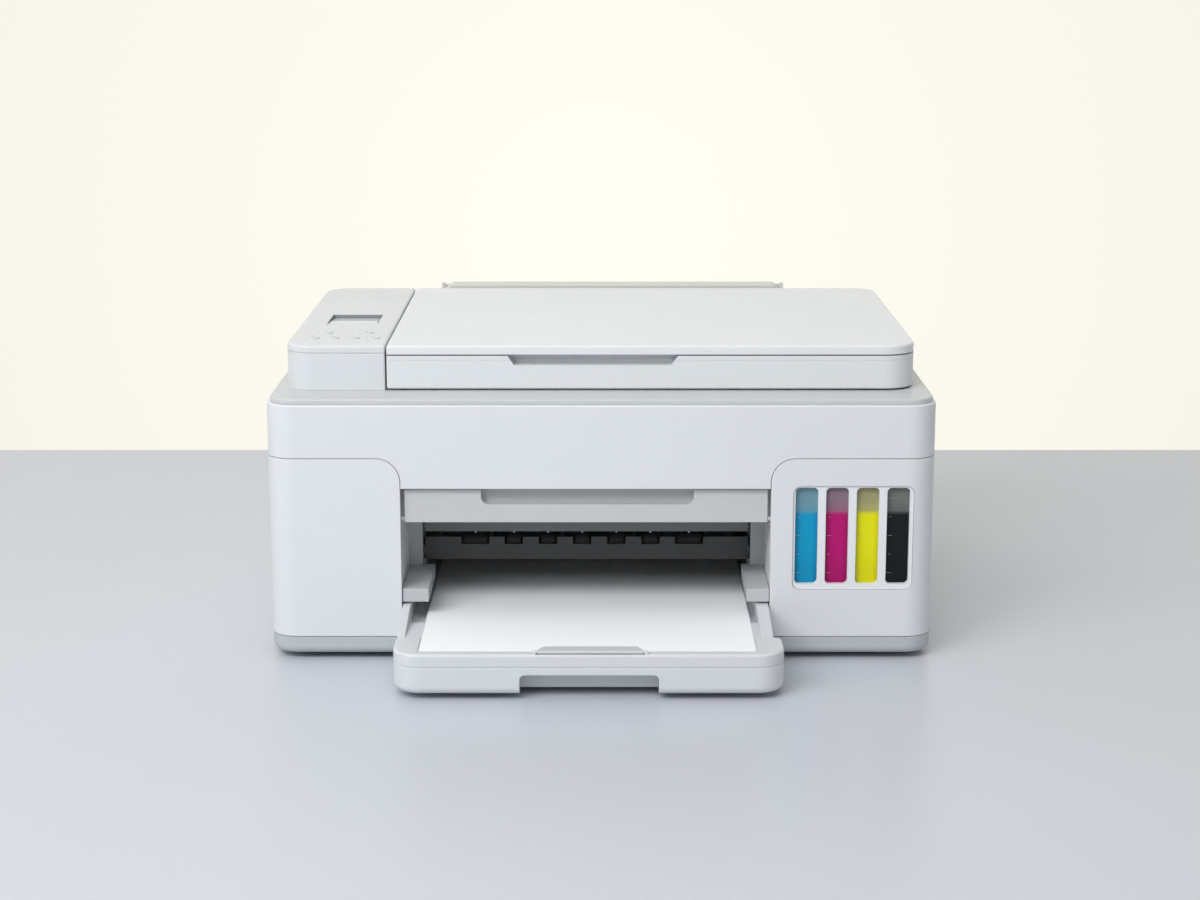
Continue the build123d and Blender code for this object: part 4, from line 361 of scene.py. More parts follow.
INKS = {
    "cyan": (tone(6, 150, 194), tone(4, 104, 150), tone(108, 148, 160)),
    "magenta": (tone(180, 12, 108), tone(124, 6, 76), tone(134, 112, 126)),
    "yellow": (tone(226, 224, 14), tone(186, 174, 8), tone(156, 153, 112)),
    "black": (tone(14, 18, 22), tone(6, 8, 10), tone(110, 113, 110)),
}
for colour_name, (ink, ink_in_shade, empty) in INKS.items():
    low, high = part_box("ink_tank_" + colour_name)
    dress(tank_skin("Ink tank " + colour_name, (low.x + high.x) / 2, ink, ink_in_shade, empty),
          "ink_tank_" + colour_name)
    dress(plastic("Cap rubber " + colour_name, tuple(0.8 * c for c in ink[:3]) + (1.0,), gloss=(0.55, 0.65),
                  radius=0.0004), "tank_cap_" + colour_name)
print("tanks dressed:", ", ".join(INKS))

# %% [markdown]
# ## Paper
# Office paper is white with a faint blue cast and no gloss. Close up it is a mat of fibres, which a
# stretched noise gives. Real paper also lets a little light through, which this finish leaves out.

# %% Paper finish
def paper_finish():
    material, tree, shader = bare_material("Office paper")
    place = add(tree, "ShaderNodeTexCoord")
    long_way = add(tree, "ShaderNodeMapping")
    long_way.inputs["Scale"].default_value = (1.0, 0.35, 1.0)
    fibres = add(tree, "ShaderNodeTexNoise", Scale=1500.0, Detail=4.0, Roughness=0.7)
    wire(tree, place, "Object", long_way, "Vector")
    wire(tree, long_way, "Vector", fibres, "Vector")
    look = mix_colour(tree, (fibres, "Fac"), tone(250, 252, 254), tone(242, 245, 249))
    tree.links.new(look.outputs[2], shader.inputs["Base Color"])
    rough = map_value(tree, (fibres, "Fac"), 0.75, 0.9)
    tree.links.new(rough.outputs[0], shader.inputs["Roughness"])
    bump = add(tree, "ShaderNodeBump", Strength=0.3, Distance=0.00002)
    tree.links.new(fibres.outputs["Fac"], bump.inputs["Height"])
    tree.links.new(bump.outputs[0], shader.inputs["Normal"])
    shader.inputs["Specular IOR Level"].default_value = 0.2
    return material


dress(paper_finish(), "paper_sheet")
print("paper dressed")

# %% [markdown]
# ## Metal, rubber, glass, foam and board
# Inside there is zinc-plated sheet, ground rods, rubber rollers and belts, the scan glass, the foam pad
# behind the lid and green circuit boards. Each has its own small recipe, because what shows the material
# is not its colour but its texture: spangle, grinding lines, moulded rubber, tiny cells, and solder mask
# over copper tracks.

# %% Metals
def steel_finish(name, colour, stretch, scale, gloss):
    """Bare steel: stretch and scale shape its spangle or its grinding lines."""
    material, tree, shader = bare_material(name)
    place = add(tree, "ShaderNodeTexCoord")
    along = add(tree, "ShaderNodeMapping")
    along.inputs["Scale"].default_value = stretch
    lines = add(tree, "ShaderNodeTexNoise", Scale=scale, Detail=4.0, Roughness=0.6)
    wire(tree, place, "Object", along, "Vector")
    wire(tree, along, "Vector", lines, "Vector")
    edge_node = group_node(tree, edge_group, Radius=0.0004, Wear=0.6)
    darker = tuple(c * 0.82 for c in colour[:3]) + (1.0,)
    look = mix_colour(tree, (lines, "Fac"), darker, colour)
    # The edge mask brightens the metal's edges toward pale grey: rubbed wear and a painted edge highlight.
    bright = mix_colour(tree, (edge_node, "Edge"), (look, 2), (0.9, 0.9, 0.9, 1.0))
    tree.links.new(bright.outputs[2], shader.inputs["Base Color"])
    rough = map_value(tree, (lines, "Fac"), gloss[0], gloss[1], 0.3, 0.7)
    tree.links.new(rough.outputs[0], shader.inputs["Roughness"])
    bump = add(tree, "ShaderNodeBump", Strength=0.2, Distance=0.00002)
    tree.links.new(lines.outputs["Fac"], bump.inputs["Height"])
    tree.links.new(edge_node.outputs["Normal"], bump.inputs["Normal"])
    tree.links.new(bump.outputs[0], shader.inputs["Normal"])
    shader.inputs["Metallic"].default_value = 1.0
    return material


zinc = steel_finish("Zinc sheet", tone(190, 193, 195), (1.0, 1.0, 1.0), 160.0, (0.28, 0.46))
ground = steel_finish("Ground rod", tone(205, 207, 209), (1.0, 60.0, 60.0), 60.0, (0.14, 0.22))
dress(zinc, "carriage_frame", "carriage_motor", "scan_rail", "star_wheels")
dress(ground, "carriage_rod", "feed_roller")
print("metals dressed")

# %% Rubber, foam and glass
rubber = plastic("Roller rubber", tone(52, 53, 55), gloss=(0.62, 0.74), grain=1800.0, depth=0.00006,
                 wear_and_highlight=0.2, worn_and_lit_edge=tone(84, 84, 86), dust=0.6)
belt_rubber = plastic("Belt rubber", tone(36, 36, 38), gloss=(0.5, 0.6), grain=3000.0, wear_and_highlight=0.3,
                      worn_and_lit_edge=tone(70, 70, 72))
foam = plastic("Pad foam", tone(240, 241, 240), gloss=(0.75, 0.85), grain=900.0, depth=0.00015,
               strength=0.6, wear_and_highlight=0.0)
dress(rubber, "exit_roller", "pinch_rollers", "pickup_roller", "feet")
dress(belt_rubber, "carriage_belt")
dress(foam, "lid_pad")


def glass_finish():
    material, tree, shader = bare_material("Scan glass")
    place = add(tree, "ShaderNodeTexCoord")
    smears = add(tree, "ShaderNodeTexNoise", Scale=16.0, Detail=5.0)
    wire(tree, place, "Object", smears, "Vector")
    rough = map_value(tree, (smears, "Fac"), 0.02, 0.09, 0.35, 0.7)
    tree.links.new(rough.outputs[0], shader.inputs["Roughness"])
    shader.inputs["Base Color"].default_value = (0.86, 0.93, 0.91, 1.0)
    shader.inputs["Transmission Weight"].default_value = 0.92
    shader.inputs["IOR"].default_value = 1.5
    return material


dress(glass_finish(), "scan_glass")
print("rubber, foam and glass dressed")

# %% Display window
def display_finish():
    material, tree, shader = bare_material("Display window")
    place = add(tree, "ShaderNodeTexCoord")
    film = add(tree, "ShaderNodeTexNoise", Scale=60.0, Detail=3.0)
    wire(tree, place, "Object", film, "Vector")
    look = mix_colour(tree, (film, "Fac"), tone(226, 229, 232), tone(216, 220, 224))
    tree.links.new(look.outputs[2], shader.inputs["Base Color"])
    rough = map_value(tree, (film, "Fac"), 0.12, 0.2, 0.3, 0.7)
    tree.links.new(rough.outputs[0], shader.inputs["Roughness"])
    shader.inputs["Coat Weight"].default_value = 0.3
    return material


dress(display_finish(), "lcd_window")
print("display dressed")

# %% Circuit boards
SOCKET_FACE_Y = 0.1935


def board_finish():
    """Solder mask over tracks; the metal shell of the data port lies behind SOCKET_FACE_Y."""
    material, tree, shader = bare_material("Board green")
    place = add(tree, "ShaderNodeTexCoord")
    tracks = add(tree, "ShaderNodeTexBrick", Scale=160.0)
    tracks.offset = 0.5
    tracks.inputs["Color1"].default_value = tone(18, 92, 58)
    tracks.inputs["Color2"].default_value = tone(22, 104, 66)
    tracks.inputs["Mortar"].default_value = tone(48, 138, 88)
    tracks.inputs["Mortar Size"].default_value = 0.018
    wire(tree, place, "Object", tracks, "Vector")
    split = add(tree, "ShaderNodeSeparateXYZ")
    wire(tree, place, "Object", split, "Vector")
    socket = map_value(tree, (split, "Y"), 0.0, 1.0, SOCKET_FACE_Y - 0.0001, SOCKET_FACE_Y + 0.0001)
    look = mix_colour(tree, (socket, 0), (tracks, "Color"), tone(196, 198, 200))
    tree.links.new(look.outputs[2], shader.inputs["Base Color"])
    rough = map_value(tree, (tracks, "Fac"), 0.3, 0.42)
    tree.links.new(rough.outputs[0], shader.inputs["Roughness"])
    bump = add(tree, "ShaderNodeBump", Strength=0.4, Distance=0.00004)
    tree.links.new(tracks.outputs["Fac"], bump.inputs["Height"])
    tree.links.new(bump.outputs[0], shader.inputs["Normal"])
    return material


dress(board_finish(), "circuit_boards")
print("boards dressed")

# %% [markdown]
# ## Making small pieces
# The printer's small parts are stacks of outlines: a screw head, a symbol, a lever. A ring is a list of
# points at one height, and joining ring to ring makes a closed skin whose faces all point outwards. Most
# pieces below come from that one helper, because it gives clean, light meshes without any cutting.

# %% Ring skin helper
def skin(name, stacks, material, smooth=False):
    """One closed mesh from stacks of rings, bottom to top; each ring has the same number of points."""
    form = bmesh.new()
    for rings in stacks:
        made = [[form.verts.new(point) for point in ring] for ring in rings]
        for lower, upper in zip(made, made[1:]):
            for here in range(len(lower)):
                after = (here + 1) % len(lower)
                form.faces.new((lower[here], lower[after], upper[after], upper[here]))
        form.faces.new(list(reversed(made[0])))
        form.faces.new(made[-1])
    bmesh.ops.recalc_face_normals(form, faces=form.faces)
    mesh = bpy.data.meshes.new(name)
    form.to_mesh(mesh)
    form.free()
    mesh.materials.append(material)
    for face in mesh.polygons:
        face.use_smooth = smooth
    piece = bpy.data.objects.new(name, mesh)
    bpy.context.scene.collection.objects.link(piece)
    return piece


def bar(x0, x1, y0, y1, z0, z1, ease=0.0):
    """Rings of a bar whose top edges are eased by a small chamfer."""
    def at_height(z, by):
        return [(x0 + by, y0 + by, z), (x1 - by, y0 + by, z), (x1 - by, y1 - by, z), (x0 + by, y1 - by, z)]
    if ease:
        return [at_height(z0, 0), at_height(z1 - ease, 0), at_height(z1, ease)]
    return [at_height(z0, 0), at_height(z1, 0)]


print("helper ready: rings of a bar have", len(bar(0, 1, 0, 1, 0, 1)[0]), "points")

# %% [markdown]
# ## Symbols on the buttons
# The six buttons carry simple signs of a printer: power, copy, stop, start, minus and plus. The real signs
# are embossed in the pod's own white; here they are flat marks in a grey only a little darker than the pod,
# five hundredths of a millimetre thick, whose grey is painted shade for the embossing, so they show
# faintly, as on the real control panel. Each rides its own button, so it goes down with it.

# %% Button symbols
# Painted shade: this grey stands for the shading of the embossed symbols; the same grey prints the tank
# level marks.
emboss_shade_and_print_grey = plastic("Emboss shade and print grey", tone(168, 173, 178), gloss=(0.4, 0.5), wear_and_highlight=0.0, dust=0.1)
MARK_T = 0.00005
STROKE_W = 0.00035
SYMBOL_R = 0.0019


def stroke_ring(cx, cy, radius, width, z, start=0.0, sweep=360.0, steps=24):
    """Stacks for a flat ring or arc drawn as short quadrilaterals."""
    parts = []
    for step in range(steps):
        a = math.radians(start + sweep * step / steps)
        b = math.radians(start + sweep * (step + 1) / steps)
        corners = [(cx + r * math.cos(t), cy + r * math.sin(t))
                   for r, t in ((radius - width, a), (radius, a), (radius, b), (radius - width, b))]
        parts.append([[(x, y, z) for x, y in corners], [(x, y, z + MARK_T) for x, y in corners]])
    return parts


def stroke_line(x0, y0, x1, y1, width, z):
    """One straight stroke of even width."""
    along = Vector((x1 - x0, y1 - y0)).normalized() * width / 2
    side = Vector((-along.y, along.x))
    first, last = Vector((x0, y0)), Vector((x1, y1))
    ends = [first - side, last - side, last + side, first + side]
    return [[[(p.x, p.y, z) for p in ends], [(p.x, p.y, z + MARK_T) for p in ends]]]


def symbol(kind, cx, cy, z):
    """Stacks for one button's sign round its middle."""
    w, r = STROKE_W, SYMBOL_R
    if kind == "power":
        return (stroke_ring(cx, cy, r, w, z, 120, 300)
                + stroke_line(cx, cy + 0.0006, cx, cy + 0.0024, w, z))
    if kind == "minus":
        return stroke_line(cx - r, cy, cx + r, cy, w, z)
    if kind == "plus":
        return (stroke_line(cx - r, cy, cx + r, cy, w, z)
                + stroke_line(cx, cy - r, cx, cy - w / 2, w, z)
                + stroke_line(cx, cy + w / 2, cx, cy + r, w, z))
    sides = {"stop": 3, "start": 4, "copy": 4}[kind]
    turn = {"stop": 90, "start": 90, "copy": 45}[kind]
    parts = stroke_ring(cx, cy, r, w * 1.4, z, turn, 360, sides)
    if kind == "copy":
        parts += stroke_line(cx + 0.0004, cy + 0.0020, cx + 0.0020, cy + 0.0020, w, z)
        parts += stroke_line(cx + 0.0020, cy + 0.0018, cx + 0.0020, cy - 0.0004, w, z)
    return parts


for kind in ("power", "copy", "stop", "start", "minus", "plus"):
    low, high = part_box(kind + "_button")
    mark = skin(kind + "_symbol", symbol(kind, (low.x + high.x) / 2, (low.y + high.y) / 2, high.z),
                emboss_shade_and_print_grey)
    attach(mark, kind + "_button")

# %% [markdown]
# ## Screws
# Self-tapping screws hold the scanner's shell from below and the carriage frame's top flange. One pan head
# is a stack of rings whose inner rings follow a cross, which gives the driver's recess. Geometry Nodes set
# a copy on each vertex of a small marker mesh and turn each by its own angle, as real screws stop anywhere.

# %% One screw head
SCREW_R = 0.0027
RIM_POINTS = 32
CROSS_ARM = 0.55
CROSS_HALF = 0.13


def cross_reach(angle, arm, half):
    """How far a cross-shaped recess reaches in this direction."""
    c, s = abs(math.cos(angle)) + 1e-9, abs(math.sin(angle)) + 1e-9
    return max(min(arm / c, half / s), min(half / c, arm / s))


def screw_head(radius):
    """A pan head with a cross recess; its rings give (share of the radius, height in radii)."""
    turns = [math.tau * k / RIM_POINTS for k in range(RIM_POINTS)]
    rings = []
    for share, height in ((1.0, 0.0), (1.0, 0.12), (0.9, 0.26), (0.66, 0.36)):
        rings.append([(radius * share * math.cos(t), radius * share * math.sin(t), radius * height)
                      for t in turns])
    for share, height in ((1.0, 0.37), (0.8, 0.12)):
        reach = [share * cross_reach(t, radius * CROSS_ARM, radius * CROSS_HALF) for t in turns]
        rings.append([(r * math.cos(t), r * math.sin(t), radius * height) for r, t in zip(reach, turns)])
    return skin("screw_pattern", [rings], zinc)


pattern = screw_head(SCREW_R)
pattern.hide_render = True
print("screw head faces:", len(pattern.data.polygons))

# %% The screw tree
screw_tree = bpy.data.node_groups.new("Screws on points", "GeometryNodeTree")
face_sockets = screw_tree.interface
face_sockets.new_socket("Geometry", in_out="INPUT", socket_type="NodeSocketGeometry")
pattern_socket = face_sockets.new_socket("Pattern", in_out="INPUT", socket_type="NodeSocketObject")
tilt_socket = face_sockets.new_socket("Tilt", in_out="INPUT", socket_type="NodeSocketVector")
metal_socket = face_sockets.new_socket("Finish", in_out="INPUT", socket_type="NodeSocketMaterial")
face_sockets.new_socket("Geometry", in_out="OUTPUT", socket_type="NodeSocketGeometry")
s_in = screw_tree.nodes.new("NodeGroupInput")
s_out = screw_tree.nodes.new("NodeGroupOutput")
copy_of = add(screw_tree, "GeometryNodeObjectInfo")
spin = add(screw_tree, "FunctionNodeRandomValue", data_type="FLOAT")
spin.inputs[3].default_value = math.tau
spin.inputs["Seed"].default_value = 7
spin_axis = add(screw_tree, "ShaderNodeCombineXYZ")
place_on = add(screw_tree, "GeometryNodeInstanceOnPoints")
turn_head = add(screw_tree, "GeometryNodeRotateInstances")
solid = add(screw_tree, "GeometryNodeRealizeInstances")
paint = add(screw_tree, "GeometryNodeSetMaterial")
screw_tree.links.new(s_in.outputs["Geometry"], place_on.inputs["Points"])
screw_tree.links.new(s_in.outputs["Pattern"], copy_of.inputs["Object"])
screw_tree.links.new(copy_of.outputs["Geometry"], place_on.inputs["Instance"])
screw_tree.links.new(s_in.outputs["Tilt"], place_on.inputs["Rotation"])
screw_tree.links.new(spin.outputs[1], spin_axis.inputs["Z"])
screw_tree.links.new(place_on.outputs["Instances"], turn_head.inputs["Instances"])
screw_tree.links.new(spin_axis.outputs[0], turn_head.inputs["Rotation"])
screw_tree.links.new(turn_head.outputs["Instances"], solid.inputs["Geometry"])
screw_tree.links.new(solid.outputs["Geometry"], paint.inputs["Geometry"])
screw_tree.links.new(s_in.outputs["Finish"], paint.inputs["Material"])
screw_tree.links.new(paint.outputs["Geometry"], s_out.inputs["Geometry"])
print("screw tree nodes:", len(screw_tree.nodes))

# %% Plain meshes from a tree
def grown(name, points, tree, values, body):
    """A plain mesh made by a geometry tree from marker points; values are (socket, value) pairs."""
    marks = bpy.data.meshes.new(name + "_marks")
    marks.from_pydata(points, [], [])
    carrier = bpy.data.objects.new(name + "_marks", marks)
    bpy.context.scene.collection.objects.link(carrier)
    modifier = carrier.modifiers.new("Grow", "NODES")
    modifier.node_group = tree
    for socket, value in values:
        modifier[socket.identifier] = value
    seen = carrier.evaluated_get(bpy.context.evaluated_depsgraph_get())
    mesh = bpy.data.meshes.new_from_object(seen)
    mesh.name = name
    piece = bpy.data.objects.new(name, mesh)
    bpy.context.scene.collection.objects.link(piece)
    carrier.modifiers.remove(modifier)
    bpy.data.objects.remove(carrier)
    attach(piece, body)
    return piece


def screws(name, points, tilt, body):
    """Zinc screw heads on these points, tilted so that they face out of the wall."""
    return grown(name, points, screw_tree,
                 [(pattern_socket, pattern), (tilt_socket, tilt), (metal_socket, zinc)], body)


SCREW_SIDE = 0.016
SCREW_FRONT = 0.012
SCREW_BACK = 0.026
FLANGE_MIDDLE = 0.0095
FACING_UP = (0.0, 0.0, 0.0)
FACING_DOWN = (math.pi, 0.0, 0.0)
shell_low, shell_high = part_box("scanner_body")
under = [(x, y, shell_low.z) for x in (shell_low.x + SCREW_SIDE, -0.03, 0.09, shell_high.x - SCREW_SIDE)
         for y in (shell_low.y + SCREW_FRONT, shell_high.y - SCREW_BACK)]
screws("scanner_screws", under, FACING_DOWN, "scanner_unit")
fr_low, fr_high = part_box("carriage_frame")
flange = [(x, fr_high.y - FLANGE_MIDDLE, fr_high.z) for x in (-0.15, -0.05, 0.05, 0.15)]
screws("frame_screws", flange, FACING_UP, "frame")
print("screws:", len(under), "under the scanner,", len(flange), "on the carriage frame")

# %% [markdown]
# ## Ruler beside the scan glass
# The bezel has a row of fine marks along the glass, so that an original can be laid straight: one every
# 5 mm and a longer one every 10. The ink tanks have five level marks each, 12.5 mm apart. A tree lays a
# line of points, sets a thin block on each and stretches every second one. Its named inputs give the
# count, the step and the size.

# %% The tick tree
tick_tree = bpy.data.node_groups.new("Row of ticks", "GeometryNodeTree")
ticks = tick_tree.interface
ticks.new_socket("Geometry", in_out="INPUT", socket_type="NodeSocketGeometry")
count_socket = ticks.new_socket("Count", in_out="INPUT", socket_type="NodeSocketInt")
pitch_socket = ticks.new_socket("Step", in_out="INPUT", socket_type="NodeSocketVector")
size_socket = ticks.new_socket("Tick size", in_out="INPUT", socket_type="NodeSocketVector")
long_socket = ticks.new_socket("Long tick", in_out="INPUT", socket_type="NodeSocketVector")
start_socket = ticks.new_socket("Start", in_out="INPUT", socket_type="NodeSocketVector")
ink_socket = ticks.new_socket("Finish", in_out="INPUT", socket_type="NodeSocketMaterial")
ticks.new_socket("Geometry", in_out="OUTPUT", socket_type="NodeSocketGeometry")
t_in = tick_tree.nodes.new("NodeGroupInput")
t_out = tick_tree.nodes.new("NodeGroupOutput")
row = add(tick_tree, "GeometryNodeMeshLine")
block_of = add(tick_tree, "GeometryNodeMeshCube")
number = add(tick_tree, "GeometryNodeInputIndex")
odd = add(tick_tree, "ShaderNodeMath", operation="MODULO")
odd.inputs[1].default_value = 2.0
stretch = tick_tree.nodes.new("GeometryNodeSwitch")
stretch.input_type = "VECTOR"
set_out = add(tick_tree, "GeometryNodeInstanceOnPoints")
real = add(tick_tree, "GeometryNodeRealizeInstances")
ink = add(tick_tree, "GeometryNodeSetMaterial")
tick_tree.links.new(t_in.outputs["Count"], row.inputs["Count"])
tick_tree.links.new(t_in.outputs["Start"], row.inputs["Start Location"])
tick_tree.links.new(t_in.outputs["Step"], row.inputs["Offset"])
tick_tree.links.new(t_in.outputs["Tick size"], block_of.inputs["Size"])
tick_tree.links.new(number.outputs[0], odd.inputs[0])
tick_tree.links.new(odd.outputs[0], stretch.inputs["Switch"])
tick_tree.links.new(t_in.outputs["Long tick"], stretch.inputs["False"])
stretch.inputs["True"].default_value = (1.0, 1.0, 1.0)
tick_tree.links.new(row.outputs["Mesh"], set_out.inputs["Points"])
tick_tree.links.new(block_of.outputs["Mesh"], set_out.inputs["Instance"])
tick_tree.links.new(stretch.outputs[0], set_out.inputs["Scale"])
tick_tree.links.new(set_out.outputs["Instances"], real.inputs["Geometry"])
tick_tree.links.new(real.outputs["Geometry"], ink.inputs["Geometry"])
tick_tree.links.new(t_in.outputs["Finish"], ink.inputs["Material"])
tick_tree.links.new(ink.outputs["Geometry"], t_out.inputs["Geometry"])
print("tick tree nodes:", len(tick_tree.nodes))

# %% Rulers and tank marks
mark_dark = plastic("Printed charcoal", tone(82, 86, 90), gloss=(0.45, 0.55), wear_and_highlight=0.0, dust=0.1)
glass_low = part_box("scan_glass")[0]
BEZEL_TOP = 0.1967
PRINT_T = 0.00004
RULER_STEP = 0.005
SIDE_TICKS = 42
FRONT_TICKS = 59
TICK_L = 0.0016
TICK_W = 0.00022
RULER_START = 0.008
RULER_EDGE = 0.0005
LEVEL_MARKS = 5
LEVEL_STEP = 0.0125
LEVEL_START = 0.058
LEVEL_LEFT = 0.0048


def tick_row(name, body, finish, start, step, count, size, longer):
    """A row of printed ticks that starts at a point; longer stretches every second one."""
    return grown(name, [(0, 0, 0)], tick_tree,
                 [(count_socket, count), (pitch_socket, step), (size_socket, size),
                  (long_socket, longer), (start_socket, start), (ink_socket, finish)], body)


print_z = BEZEL_TOP + PRINT_T / 2
tick_row("glass_ruler_side", "scanner_unit", mark_dark,
         (glass_low.x + RULER_EDGE, glass_low.y + RULER_START, print_z), (0, RULER_STEP, 0), SIDE_TICKS,
         (TICK_L, TICK_W, PRINT_T), (1.9, 1, 1))
tick_row("glass_ruler_front", "scanner_unit", mark_dark,
         (glass_low.x + RULER_START, glass_low.y + RULER_EDGE, print_z), (RULER_STEP, 0, 0), FRONT_TICKS,
         (TICK_W, TICK_L, PRINT_T), (1, 1.9, 1))
tank_marks = []
for colour_name in INKS:
    low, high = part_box("ink_tank_" + colour_name)
    tank_marks.append(tick_row("tank_marks_" + colour_name, "frame", emboss_shade_and_print_grey,
                               ((low.x + high.x) / 2 - LEVEL_LEFT, low.y - 0.00002, LEVEL_START),
                               (0, 0, LEVEL_STEP), LEVEL_MARKS, (TICK_L, 0.00006, TICK_W), (1.8, 1, 1)))
print("ruler ticks:", SIDE_TICKS, "and", FRONT_TICKS)
print("tank marks:", len(tank_marks), "rows of", LEVEL_MARKS)

# %% [markdown]
# ## Inside the hatch
# With the scanner up, the carriage shows. Above its rod runs the encoder strip, a clear film with
# hundreds of fine lines that tells the printer where the carriage is. Its lines are far too fine to
# model, so they are a wave in the material. Each print head is held down by a lever on the carriage.

# %% Encoder strip and levers
def film_finish():
    material, tree, shader = bare_material("Encoder film")
    place = add(tree, "ShaderNodeTexCoord")
    lines = add(tree, "ShaderNodeTexWave", Scale=420.0)
    wire(tree, place, "Object", lines, "Vector")
    look = mix_colour(tree, (lines, "Fac"), tone(120, 124, 128), tone(206, 210, 214))
    tree.links.new(look.outputs[2], shader.inputs["Base Color"])
    rough = map_value(tree, (lines, "Fac"), 0.12, 0.22)
    tree.links.new(rough.outputs[0], shader.inputs["Roughness"])
    shader.inputs["Alpha"].default_value = 0.8
    return material


STRIP_END = 0.0008
STRIP_Y = (0.0038, 0.0040)
STRIP_Z = (0.1345, 0.1405)
strip = skin("encoder_strip", [bar(fr_low.x + STRIP_END, fr_high.x - STRIP_END, *STRIP_Y, *STRIP_Z)],
             film_finish())
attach(strip, "frame")

LEVER_PITCH = 0.0334
LEVER_FRONT, LEVER_BACK = -0.0385, -0.0155
LEVER_HALF_FRONT, LEVER_HALF_BACK = 0.009, 0.0075
LEVER_EASE = 0.0006
LEVER_T = 0.003
lever_grey = plastic("Lever grey", tone(150, 158, 168), gloss=(0.3, 0.4), radius=0.0005)
heads_low, heads_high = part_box("print_heads")


def lever_ring(mid, ease, rise):
    """One outline of a lever: wide and high at the front, narrower and lower behind."""
    return [(mid + x, y, heads_high.z + h) for x, y, h in
            ((-LEVER_HALF_FRONT + ease, LEVER_FRONT + ease, rise),
             (LEVER_HALF_FRONT - ease, LEVER_FRONT + ease, rise),
             (LEVER_HALF_BACK - ease, LEVER_BACK - ease, 0.6 * rise),
             (-LEVER_HALF_BACK + ease, LEVER_BACK - ease, 0.6 * rise))]


levers = []
for side in (-1, 1):
    mid = (heads_low.x + heads_high.x) / 2 + side * LEVER_PITCH / 2
    levers.append([lever_ring(mid, ease, rise)
                   for ease, rise in ((0.0, 0.0), (0.0, 0.0022), (LEVER_EASE, LEVER_T))])
head_levers = skin("head_levers", levers, lever_grey)
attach(head_levers, "carriage")
print("levers top at", round((heads_high.z + LEVER_T) * 1000, 1), "mm")

# %% [markdown]
# ## Painted shade in the display well
# The display sits in a well whose back wall is the tallest, because the pane slopes down toward it. A thin
# grey sheet lines that wall and both sides as painted shade for the shadow in the well; from the front it
# reads as the dark line over the display.

# %% Painted shade in the display well
well_shade_grey = plastic("Painted well shade grey", tone(132, 136, 140), gloss=(0.5, 0.6), wear_and_highlight=0.0, dust=0.1)
pane_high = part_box("lcd_window")[1]
SHADE_SHEET_T = 0.0003
WEDGE_START = 0.012
PANE_CLEARANCE = 0.00004
WELL = (-0.18895, -0.15405, -0.01095, 0.03595)
well_x0, well_x1, well_y0, well_y1 = WELL
WELL_BACK_Z = 0.20042
RIM_Z = 0.2033


def side_wedge(x0, x1):
    """A thin side of the painted shade sheet: it grows taller toward the back, as the pane slopes down."""
    ends = ((well_y0 + WEDGE_START, pane_high.z + PANE_CLEARANCE), (well_y1 - SHADE_SHEET_T, WELL_BACK_Z))
    lower = [(x0, ends[0][0], ends[0][1]), (x1, ends[0][0], ends[0][1]),
             (x1, ends[1][0], ends[1][1]), (x0, ends[1][0], ends[1][1])]
    return [lower, [(x, y, RIM_Z) for x, y, z in lower]]


# The sheet is painted shade: a grey lining where the well's walls lie in shadow.
well_shade = skin("display_gasket", [
    bar(well_x0, well_x1, well_y1 - SHADE_SHEET_T, well_y1, WELL_BACK_Z, RIM_Z),
    side_wedge(well_x0, well_x0 + SHADE_SHEET_T),
    side_wedge(well_x1 - SHADE_SHEET_T, well_x1),
], well_shade_grey)
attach(well_shade, "frame")
print("display pane top at", round(pane_high.z * 1000, 1), "mm, well", [round(v * 1000, 1) for v in WELL])

# %% [markdown]
# ## Scan lamp
# Along the scan bar lies a clear acrylic light guide. Its moulded cells show as faint bands, which a wave
# gives. Once it is made, the screw head that served as a pattern is taken away.

# %% Scan lamp
def lamp_finish():
    material, tree, shader = bare_material("Scan lamp acrylic")
    place = add(tree, "ShaderNodeTexCoord")
    cells = add(tree, "ShaderNodeTexWave", Scale=70.0, bands_direction="Y")
    wire(tree, place, "Object", cells, "Vector")
    look = mix_colour(tree, (cells, "Fac"), tone(206, 216, 214), tone(228, 236, 232))
    tree.links.new(look.outputs[2], shader.inputs["Base Color"])
    rough = map_value(tree, (cells, "Fac"), 0.08, 0.16)
    tree.links.new(rough.outputs[0], shader.inputs["Roughness"])
    return material


bar_low, bar_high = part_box("scan_carriage")
mid_x = (bar_low.x + bar_high.x) / 2
LAMP_HALF = 0.0028
LAMP_END = 0.004
LAMP_SUNK = 0.0002
LAMP_PROUD = 0.00012
LAMP_EASE = 0.00008
guide = bar(mid_x - LAMP_HALF, mid_x + LAMP_HALF, bar_low.y + LAMP_END, bar_high.y - LAMP_END,
            bar_high.z - LAMP_SUNK, bar_high.z + LAMP_PROUD, LAMP_EASE)
scan_lamp = skin("scan_lamp", [guide], lamp_finish())
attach(scan_lamp, "scan_bar")
bpy.data.objects.remove(pattern)

# %% [markdown]
# ## The studio
# The printer stands on a pale, slightly glossy grey table in front of a warm wall. The wall stands close
# behind the table in the main view, and its back is left out, so that a camera behind it sees the printer.
# Camera, glossy and transmission rays see a glow on the wall, lighter toward its middle behind the printer
# as a painted pool of light, which costs the printer no extra light.

# %% Wall and floor
WALL_Y = 0.521
STAGE = 8
WALL_Z = (-0.2, 6)


def flat_mesh(name, corners):
    mesh = bpy.data.meshes.new(name)
    mesh.from_pydata(corners, [], [tuple(range(len(corners)))])
    piece = bpy.data.objects.new(name, mesh)
    bpy.context.scene.collection.objects.link(piece)
    return piece


